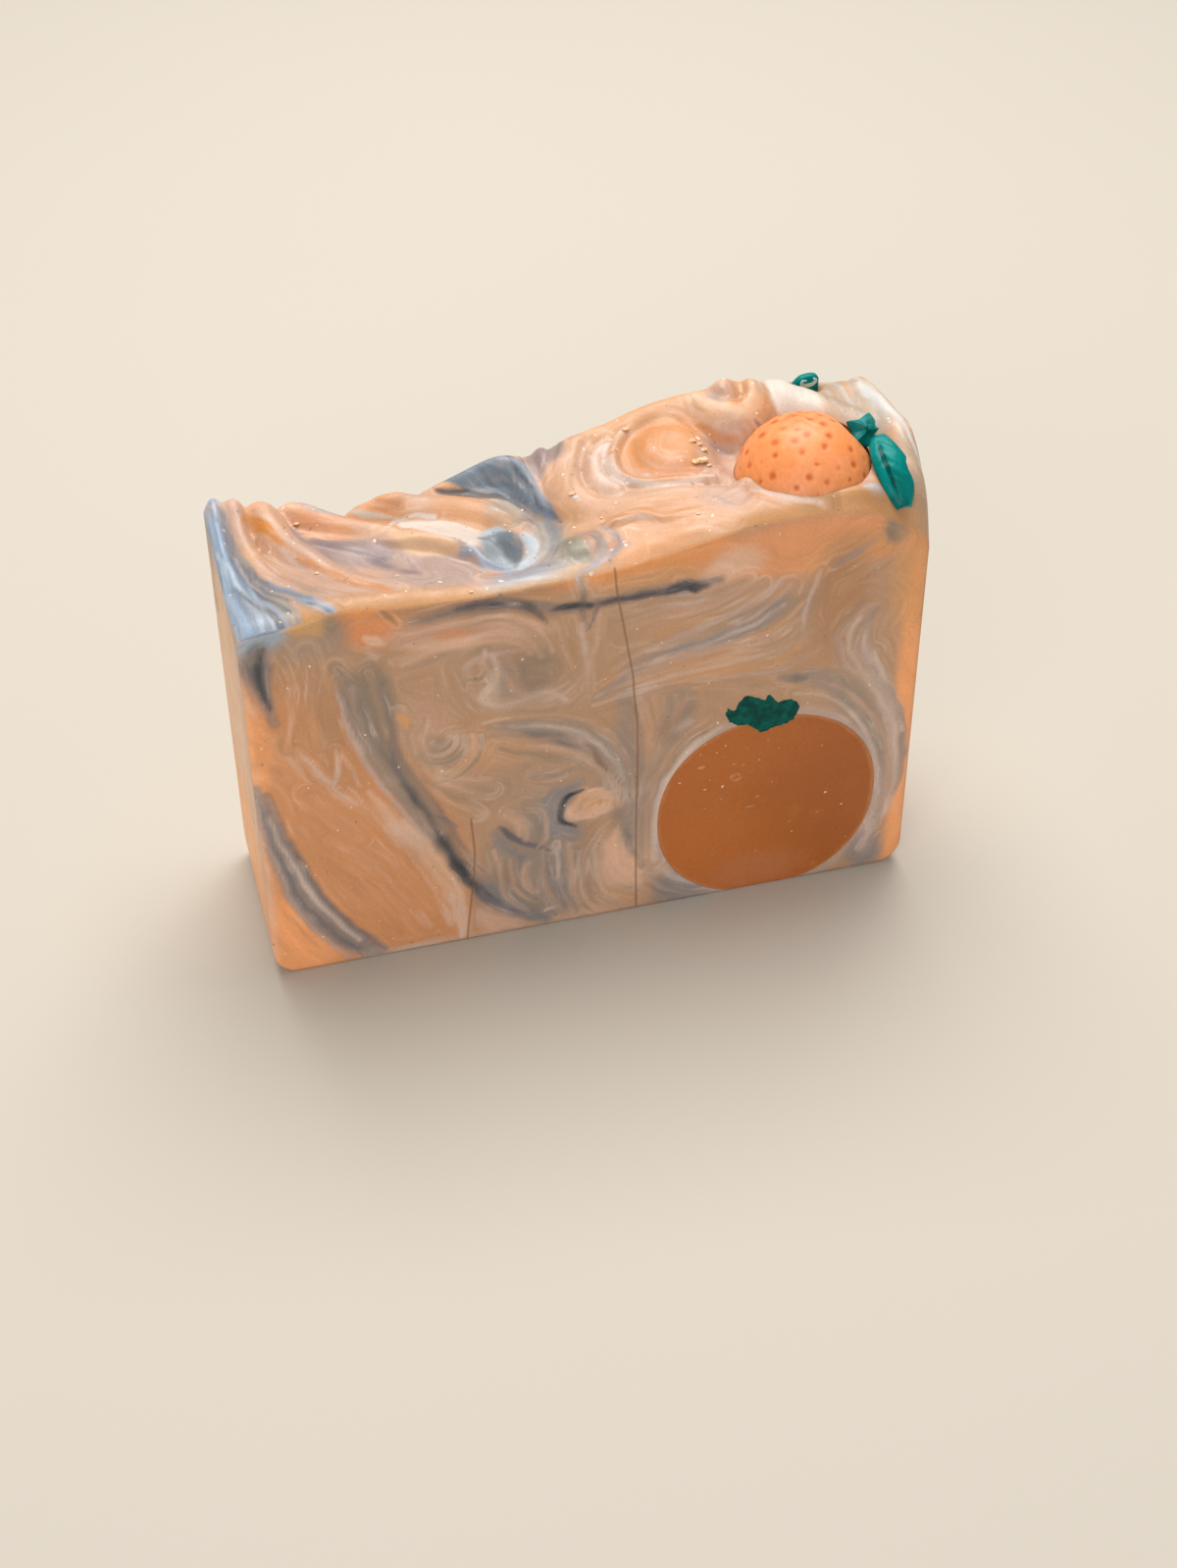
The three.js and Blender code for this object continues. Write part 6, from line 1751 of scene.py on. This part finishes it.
@dataclass
class GreenStrip:
    """The strip of green soap that runs through above the log, in mm."""

    corners: tuple[Point2, ...] = (
        (18.1, 33.0), (17.9, 32.0), (18.4, 30.8), (19.4, 29.9), (21.0, 29.5), (22.0, 28.8),
        (23.0, 27.9), (24.5, 28.4), (26.3, 28.7), (27.4, 29.3), (27.8, 30.2), (28.1, 31.0),
        (27.8, 31.8), (26.9, 32.6), (24.8, 32.7), (24.4, 33.4), (23.7, 33.9), (23.3, 33.3),
        (22.2, 33.8), (20.5, 34.4), (19.6, 33.4), (19.1, 32.3),
    )
    steps: int = 7
    rag: float = 0.09
    seam: float = 0.03
    proud: float = 0.02

    def outline(self) -> np.ndarray:
        """Its ragged outline along X and Z."""
        path = finer_path((*self.corners, self.corners[0]), self.steps)[:-1]
        u, v = path.T
        return path + self.rag * np.stack([wobble(u, v, 1.1, 3.0), wobble(u, v, 0.9, 8.0)], -1)

    def build(self, half_depth: float) -> bpy.types.Object:
        """The strip.

        Args:
            half_depth: half the block's thickness.

        Returns:
            The strip's piece.
        """
        return prism("green_inlay", self.outline(), half_depth + self.proud)

    def dress(self, strip: bpy.types.Object) -> None:
        """Gives it its finish."""
        finish = PlainSoap("green_inlay_look", (0, 62, 56), (0, 88, 78), 900, 3200, 0.06,
                           (0.5, 0.65), 0.0, 0.15)
        hand_in(strip, "green_strip", Slot.GREEN_INLAY, finish.make())


@dataclass
class SoapOrange:
    """The small moulded orange of soap set in the top, in mm."""

    centre: Point3 = (30.6, -2.9, 59.9)
    radius: float = 8.85
    stem: Point3 = (0.8, 0.2, 0.56)
    stretch: float = 1.02
    dimples: int = 190
    dimple_reach: float = 0.4
    dimple_depth: float = 0.17
    fine_dimples: int = 700
    fine_reach: float = 0.22
    fine_depth: float = 0.025
    scatter: float = 0.035
    # where the crown lies, which gets painted shade against the lamp above
    crown: Point3 = (-0.1, 0.35, 0.93)
    crown_reach: float = 0.75
    crown_depth: float = 0.045
    dent: float = 1.2
    dent_reach: float = 0.3
    seam: float = 0.06

    def spread_out(self, count: int) -> np.ndarray:
        """Evenly spread directions.

        Args:
            count: how many.

        Returns:
            A unit row for each.
        """
        k = np.arange(count) + 0.5
        lift = 1 - 2 * k / count
        turn = k * math.pi * (3 - math.sqrt(5))
        ring = np.sqrt(1 - lift ** 2)
        return np.stack([ring * np.cos(turn), ring * np.sin(turn), lift], -1)

    def socket(self) -> bpy.types.Object:
        """The plain ball that cuts its socket in the top."""
        pick()
        bpy.ops.mesh.primitive_ico_sphere_add(subdivisions=5, radius=(self.radius + self.seam) * MM,
                                              location=[c * MM for c in self.centre])
        bpy.context.active_object.scale = (self.stretch, 1, 1)
        bpy.ops.object.transform_apply(location=True, rotation=True, scale=True)
        return bpy.context.active_object

    def build(self) -> bpy.types.Object:
        """The dimpled orange."""
        pick()
        bpy.ops.mesh.primitive_ico_sphere_add(subdivisions=6, radius=self.radius * MM)
        ball = bpy.context.active_object
        ball.name = "soap_orange"
        p = places_of(ball)
        way = p / np.linalg.norm(p, axis=1, keepdims=True)
        stem = np.array(self.stem) / np.linalg.norm(self.stem)
        radius = np.full(len(p), self.radius)
        painted_shade = np.zeros(len(p))
        # painted shade in the dimples, darker the deeper the pit
        for count, reach, depth in ((self.dimples, self.dimple_reach, self.dimple_depth),
                                    (self.fine_dimples, self.fine_reach, self.fine_depth)):
            for k, spot in enumerate(self.spread_out(count)):
                shift = self.scatter * np.sin(np.array([2.1, 5.3, 8.7]) * (k + 1))
                away = self.radius * np.linalg.norm(way - spot - shift, axis=1)
                size = reach * (1 + 0.3 * math.sin(3.7 * k))
                near = away < 3 * size
                pit = np.exp(-((away[near] / size) ** 2))
                radius[near] -= depth * pit
                painted_shade[near] += pit * depth / self.dimple_depth
        crown = np.exp(-((np.arccos(np.clip(way @ self.crown, -1, 1)) / self.crown_reach) ** 2))
        wrinkle = np.sin(26 * way[:, 1] + 3 * np.sin(6 * way[:, 0]) + 2 * np.sin(17 * way[:, 0]))
        radius -= self.crown_depth * crown * (1 - wrinkle)
        # painted shade: the crown, lit most by the lamp above, is darkened along with its wrinkles
        painted_shade += crown * (0.32 - 0.12 * wrinkle)
        angle = np.arccos(np.clip(way @ stem, -1, 1))
        radius -= self.dent * np.exp(-((angle / self.dent_reach) ** 2))
        places = np.array(self.centre) + way * radius[:, None] * (self.stretch, 1, 1)
        put_at(ball, places)
        ball.data.attributes.new("painted_shade", "FLOAT", "POINT").data.foreach_set("value", painted_shade)
        soften(ball, 60)
        # the last colour is the painted shade of the dimples and the crown
        finish = PlainSoap("orange_soap_look", (226, 138, 76), (231, 150, 98), 120, 1500, 0.04,
                           (0.36, 0.5), 0.45, 0.4, (200, 100, 42))
        hand_in(ball, "top_orange", Slot.ORANGE, finish.make())
        return ball


@dataclass
class CalyxStar:
    """The green calyx with its stub of stem, in mm."""

    centre: Point3 = (39.5, -1.3, 64.7)
    facing: Point3 = (0.1, -0.5, 0.86)
    lobes: int = 5
    tip: float = 3.0
    valley: float = 2.1
    thickness: float = 1.3
    droop: float = 0.25
    ridge: float = 0.8
    stub: float = 0.5
    stub_length: float = 1.2

    def build(self) -> bpy.types.Object:
        """The star and its stub, joined."""
        pick()
        bpy.ops.mesh.primitive_uv_sphere_add(segments=120, ring_count=28, radius=MM)
        star = bpy.context.active_object
        star.name = "calyx_star"
        p = places_of(star)
        share = np.clip(np.hypot(p[:, 0], p[:, 1]), 0, 1)
        angle = np.arctan2(p[:, 1], p[:, 0])
        lobe = 1 - np.abs(np.sin(self.lobes * angle / 2))
        reach = self.valley + (self.tip - self.valley) * lobe
        lift = np.sign(p[:, 2]) * self.thickness / 2 * np.sqrt(1 - share ** 2) ** 0.8
        lift = lift - self.droop * share ** 2 + self.ridge * (2 * lobe - 1) * share * (1 - share)
        local = np.stack([share * reach * np.cos(angle), share * reach * np.sin(angle), lift], -1)
        bpy.ops.mesh.primitive_uv_sphere_add(segments=40, ring_count=20, radius=MM)
        stub = bpy.context.active_object
        q = places_of(stub)
        ring = np.hypot(q[:, 0], q[:, 1])[:, None]
        squared = np.clip(ring, 0, 1) ** 0.35
        flat = q[:, :2] / np.maximum(ring, 1e-6) * squared * self.stub
        lifted = 0.5 + 0.5 * np.sign(q[:, 2]) * np.abs(q[:, 2]) ** 0.5
        rise = self.thickness * 0.2 + self.stub_length * lifted
        flare = 1 + 0.18 * np.cos(5 * np.arctan2(q[:, 1], q[:, 0])) * 0.4
        post = np.stack([flat[:, 0] * flare, flat[:, 1] * flare, rise], -1)
        turn = Vector((0, 0, 1)).rotation_difference(Vector(self.facing)).to_matrix()
        turned = np.array(turn).T
        put_at(star, local @ turned + np.array(self.centre))
        put_at(stub, post @ turned + np.array(self.centre))
        pick(star, stub)
        bpy.ops.object.join()
        soften(star, 35)
        hand_in(star, "top_calyx", Slot.GREEN, leaf_finish("calyx_look").make())
        return star


def leaf_finish(name: str) -> PlainSoap:
    """The shining green of the leaves, under its own name."""
    # the last colour is the painted shade in the hanging leaf's midrib groove
    return PlainSoap(name, (0, 100, 96), (0, 130, 126), 260, 1500, 0.03, (0.18, 0.28), 0.05, 0.12,
                     (0, 66, 62))


@dataclass
class HangingLeaf:
    """The ribbed green leaf that hangs down beside the orange, in mm."""

    base: Point3 = (40.3, -3.2, 65.3)
    tip: Point3 = (40.8, -12.5, 60.3)
    facing: Point3 = (0, -0.46, 0.88)
    half_width: float = 2.5
    thickness: float = 1.1
    rim: float = 0.22
    bow: float = 1.3
    arch: float = 0.5
    rib_height: float = 0.09
    ribs: int = 6
    vein_place: float = -0.45
    vein_width: float = 0.13
    vein_depth: float = 2.2
    long_steps: int = 90
    wide_steps: int = 40

    def build(self) -> bpy.types.Object:
        """The leaf as a closed shell."""
        pick()
        bpy.ops.mesh.primitive_grid_add(x_subdivisions=self.long_steps, y_subdivisions=self.wide_steps,
                                        size=2 * MM)
        leaf = bpy.context.active_object
        leaf.name = "hanging_leaf"
        bpy.ops.object.mode_set(mode="EDIT")
        bpy.ops.mesh.select_all(action="SELECT")
        bpy.ops.mesh.extrude_region_move(TRANSFORM_OT_translate={"value": (0, 0, -MM)})
        bpy.ops.object.mode_set(mode="OBJECT")
        p = places_of(leaf)
        u, v = (p[:, 0] + 1) / 2, p[:, 1]
        upper = p[:, 2] > -0.5
        base, tip = np.array(self.base), np.array(self.tip)
        forward = tip - base
        length = np.linalg.norm(forward)
        forward = forward / length
        side = np.cross(self.facing, forward)
        side /= np.linalg.norm(side)
        up = np.cross(forward, side)
        run = np.minimum(0.04 + 0.93 * u ** 0.9, 1)
        wide = 0.24 + 0.76 * np.sin(math.pi * run) ** 0.75
        away = v - self.vein_place
        rib = np.cos(2 * math.pi * (self.ribs * u - 1.2 * np.abs(away))) * (1 - np.abs(v))
        groove = np.exp(-((away / self.vein_width) ** 2)) * np.clip(np.sin(math.pi * u) * 1.4 - 0.25, 0, 1)
        rib = self.rib_height * (rib * np.where(away < 0.3, 1, 0.4) - self.vein_depth * groove)
        full = np.sqrt(np.clip(1 - np.abs(v) ** 3, 0, 1) * np.clip(1 - np.abs(2 * u - 1) ** 8, 0, 1))
        half = self.rim / 2 + (self.thickness - self.rim) / 2 * full
        lift = self.bow * np.sin(math.pi * u) - self.arch * v ** 2
        lift = lift + np.where(upper, half + rib * full, -half)
        put_at(leaf, base + np.outer(u * length, forward) + np.outer(v * wide * self.half_width, side)
               + np.outer(lift, up))
        # painted shade in the midrib groove
        leaf.data.attributes.new("painted_shade", "FLOAT", "POINT").data.foreach_set("value", groove * upper)
        face_outwards(leaf)
        soften(leaf, 60)
        hand_in(leaf, "top_leaf", Slot.GREEN, leaf_finish("leaf_look").make())
        return leaf


@dataclass
class RearLeaf:
    """The small green piece set in the top behind the orange, in mm."""

    x: float = 33.1
    y: float = 12.0
    z: float = 63.3
    length: float = 4.2
    height: float = 2.8
    root: float = 1.6
    thickness: float = 1.2
    rounding: float = 0.4
    crown: tuple[Point2, ...] = (
        (1, 0.75), (0.93, 0.9), (0.8, 0.97), (0.6, 0.97), (0.4, 0.9), (0.22, 0.66), (0.08, 0.36), (0, 0),
    )
    hook: tuple[Point2, ...] = (
        (3.3, 2.4), (3.7, 2.1), (3.3, 1.6), (2.4, 1.45), (1.7, 1.7), (1.8, 2.1), (2.4, 2.2),
    )
    hook_width: float = 0.55

    def outline(self) -> np.ndarray:
        """Its outline along X and up, anticlockwise as seen from the front."""
        size = np.array([self.length, self.height])
        foot = np.array([(0, -self.root), (self.length, -self.root)])
        return np.concatenate([foot, finer_path(size * self.crown)])

    def build(self) -> bpy.types.Object:
        """The piece, upright and rounded at its rim."""
        outline = self.outline() + np.array([self.x, self.z])
        leaf = prism("rear_leaf", outline, self.thickness / 2)
        p = places_of(leaf)
        p[:, 1] += self.y
        put_at(leaf, p)
        pick(leaf)
        round_off = leaf.modifiers.new("rounding", "BEVEL")
        round_off.width = self.rounding * MM
        round_off.segments = 4
        round_off.limit_method = "ANGLE"
        round_off.angle_limit = math.radians(50)
        bpy.ops.object.modifier_apply(modifier=round_off.name)
        soften(leaf, 60)
        hand_in(leaf, "back_leaf", Slot.GREEN, leaf_finish("rear_leaf_look").make())
        return leaf

    def mark(self) -> bpy.types.Object:
        """The hooked pale streak on its front."""
        path = finer_path(self.hook, 6)
        along = np.gradient(path, axis=0)
        along /= np.linalg.norm(along, axis=1, keepdims=True)
        half = self.hook_width / 2 * np.sin(np.linspace(0.35, math.pi - 0.2, len(path)))[:, None]
        aside = np.stack([-along[:, 1], along[:, 0]], -1) * half
        outline = np.concatenate([path - aside, (path + aside)[::-1]]) + np.array([self.x, self.z])
        streak = prism("pale_hook", outline, 0.1)
        p = places_of(streak)
        p[:, 1] += self.y - self.thickness / 2 - 0.02
        put_at(streak, p)
        soften(streak, 30)
        finish = PlainSoap("pale_hook_look", (176, 206, 198), (206, 222, 214), 300, 1500, 0.03,
                           (0.4, 0.5), 0.1, 0.3)
        hand_in(streak, None, Slot.GREEN, finish.make())
        return streak


@dataclass
class Crumbs:
    """Small pale crumbs of soap on the poured top: place along X and Y, and size, in mm."""

    top: PouredTop
    places: tuple[Point3, ...] = (
        (17.7, 4.0, 0.42), (18.5, 3.6, 0.34), (18.9, 2.8, 0.4), (17.2, 0.7, 0.5), (18.1, 1.0, 0.62),
        (18.8, 0.4, 0.3), (-33.2, 9.4, 0.34), (-32.7, -3.0, 0.26), (1.0, 0.8, 0.34), (8.1, 8.6, 0.36),
        (10.3, 9.3, 0.4), (-15.2, -12.0, 0.22), (3.4, -4.4, 0.2), (14.6, -9.2, 0.22),
    )
    flatness: float = 0.42

    def build(self) -> bpy.types.Object:
        """All the crumbs, as one piece."""
        made = []
        for k, (x, y, size) in enumerate(self.places):
            pick()
            bpy.ops.mesh.primitive_ico_sphere_add(subdivisions=3, radius=MM)
            crumb = bpy.context.active_object
            way = places_of(crumb)
            lump = 1 + 0.16 * np.sin(way @ (4.1 + k, 2.7, 3.3)) + 0.1 * np.sin(way @ (2.0, 7.1, 5.3 + k))
            z = float(self.top.height(np.array([x]), np.array([y]))[0])
            scale = np.array((1.25, 0.9, self.flatness)) * size
            put_at(crumb, way * lump[:, None] * scale + (x, y, z + 0.2 * size))
            made.append(crumb)
        pick(*made)
        bpy.ops.object.join()
        made[0].name = "crumbs"
        soften(made[0], 60)
        finish = PlainSoap("crumb_look", (222, 166, 122), (236, 192, 152), 700, 1500, 0.03,
                           (0.4, 0.5), 0.3, 0.4)
        hand_in(made[0], None, Slot.SWIRLED, finish.make())
        return made[0]


@dataclass
class Studio:
    """The floor, the lights and the camera, in metres."""

    camera_place: Point3 = (-0.0637, -0.2551, 0.2379)
    pitch: float = 40.51
    yaw: float = -14.56
    roll: float = -0.46
    lens: float = 57.29
    frame_height: float = 36.0
    floor_size: float = 6.0

    def camera(self) -> None:
        """Sets the camera at the photograph's place."""
        cy, sy = math.cos(math.radians(self.yaw)), math.sin(math.radians(self.yaw))
        cp, sp = math.cos(math.radians(self.pitch)), math.sin(math.radians(self.pitch))
        cr, sr = math.cos(math.radians(self.roll)), math.sin(math.radians(self.roll))
        ahead = Vector((-sy * cp, cy * cp, -sp))
        across = Vector((cy, sy, 0))
        up = across.cross(ahead)
        right = across * cr + up * sr
        top = up * cr - across * sr
        data = bpy.data.cameras.new("camera")
        data.sensor_fit = "VERTICAL"
        data.sensor_height = self.frame_height
        data.lens = self.lens
        camera = bpy.data.objects.new("camera", data)
        turn = Matrix((right, top, -ahead)).transposed().to_4x4()
        camera.matrix_world = Matrix.Translation(self.camera_place) @ turn
        bpy.context.scene.collection.objects.link(camera)
        bpy.context.scene.camera = camera

    def light(self, name: str, place: Point3, size: float, power: float, colour: Colour) -> None:
        """Adds a soft light that looks at the bar.

        Args:
            name: its name.
            place: where it is.
            size: its width.
            power: its power in watts.
            colour: its colour.
        """
        data = bpy.data.lights.new(name, "AREA")
        data.size = size
        data.energy = power
        data.color = colour
        light = bpy.data.objects.new(name, data)
        light.location = place
        light.rotation_euler = (Vector((0, 0, 0.03)) - Vector(place)).to_track_quat("-Z", "Y").to_euler()
        bpy.context.scene.collection.objects.link(light)

    def floor(self) -> None:
        """Lays the plain pale floor."""
        pick()
        bpy.ops.mesh.primitive_plane_add(size=self.floor_size)
        floor = bpy.context.active_object
        floor.name = "floor"
        r = Recipe("floor_look")
        cloud = r.noise(3, 3)
        tone = r.mix(cloud, (0.5, 0.455, 0.39, 1), (0.53, 0.485, 0.42, 1))
        rough = r.spread(cloud, 0, 1, 0.7, 0.85)
        floor.data.materials.append(r.finish(tone, rough, r.bump(cloud, 0.2, 0.1), 0.0, 1.0))

    def build(self) -> None:
        """Sets up the whole studio."""
        self.floor()
        self.camera()
        self.light("overhead", (0.05, 0.22, 0.6), 0.5, 5.4, (1.0, 0.985, 0.965))
        self.light("front_fill", (-0.4, -0.7, 0.3), 0.6, 3.3, (1.0, 0.98, 0.95))
        world = bpy.data.worlds.new("studio")
        world.use_nodes = True
        world.node_tree.nodes["Background"].inputs["Color"].default_value = (1.0, 0.985, 0.96, 1)
        world.node_tree.nodes["Background"].inputs["Strength"].default_value = 0.42
        bpy.context.scene.world = world
        bpy.context.scene.view_settings.view_transform = "Standard"


def main() -> None:
    """Builds the bar piece by piece, then the studio."""
    logging.basicConfig(level=logging.INFO, format="%(name)s %(message)s")
    block, inlay, strip, orange = SoapBlock(), RoundInlay(), GreenStrip(), SoapOrange()
    body = block.build()
    log = inlay.build(body)
    strip_piece = strip.build(block.thickness / 2)
    log_hole = prism("log_hole", grown(inlay.outline(), inlay.seam), 20)
    strip_hole = prism("strip_hole", grown(strip.outline(), strip.seam), 20)
    socket = orange.socket()
    cut(body, log_hole, "DIFFERENCE")
    cut(body, strip_hole, "DIFFERENCE")
    cut(body, socket, "DIFFERENCE")
    cut(log, strip_hole, "DIFFERENCE")
    remove(log_hole, strip_hole, socket)
    store_paint(body, block.face_canvases(body))
    block.score(body)
    soften(body, 60)
    swirled = PaintedSoap("swirled_soap_look", Tint.FROST.value, Tint.OLIVE.value, cracked=True)
    hand_in(body, "soap_bar", Slot.SWIRLED, swirled.make())
    inlay.dress(log)
    strip.dress(strip_piece)
    orange.build()
    CalyxStar().build()
    HangingLeaf().build()
    rear = RearLeaf()
    rear.build()
    rear.mark()
    Crumbs(block.top).build()
    Studio().build()


if __name__ == "__main__":
    main()
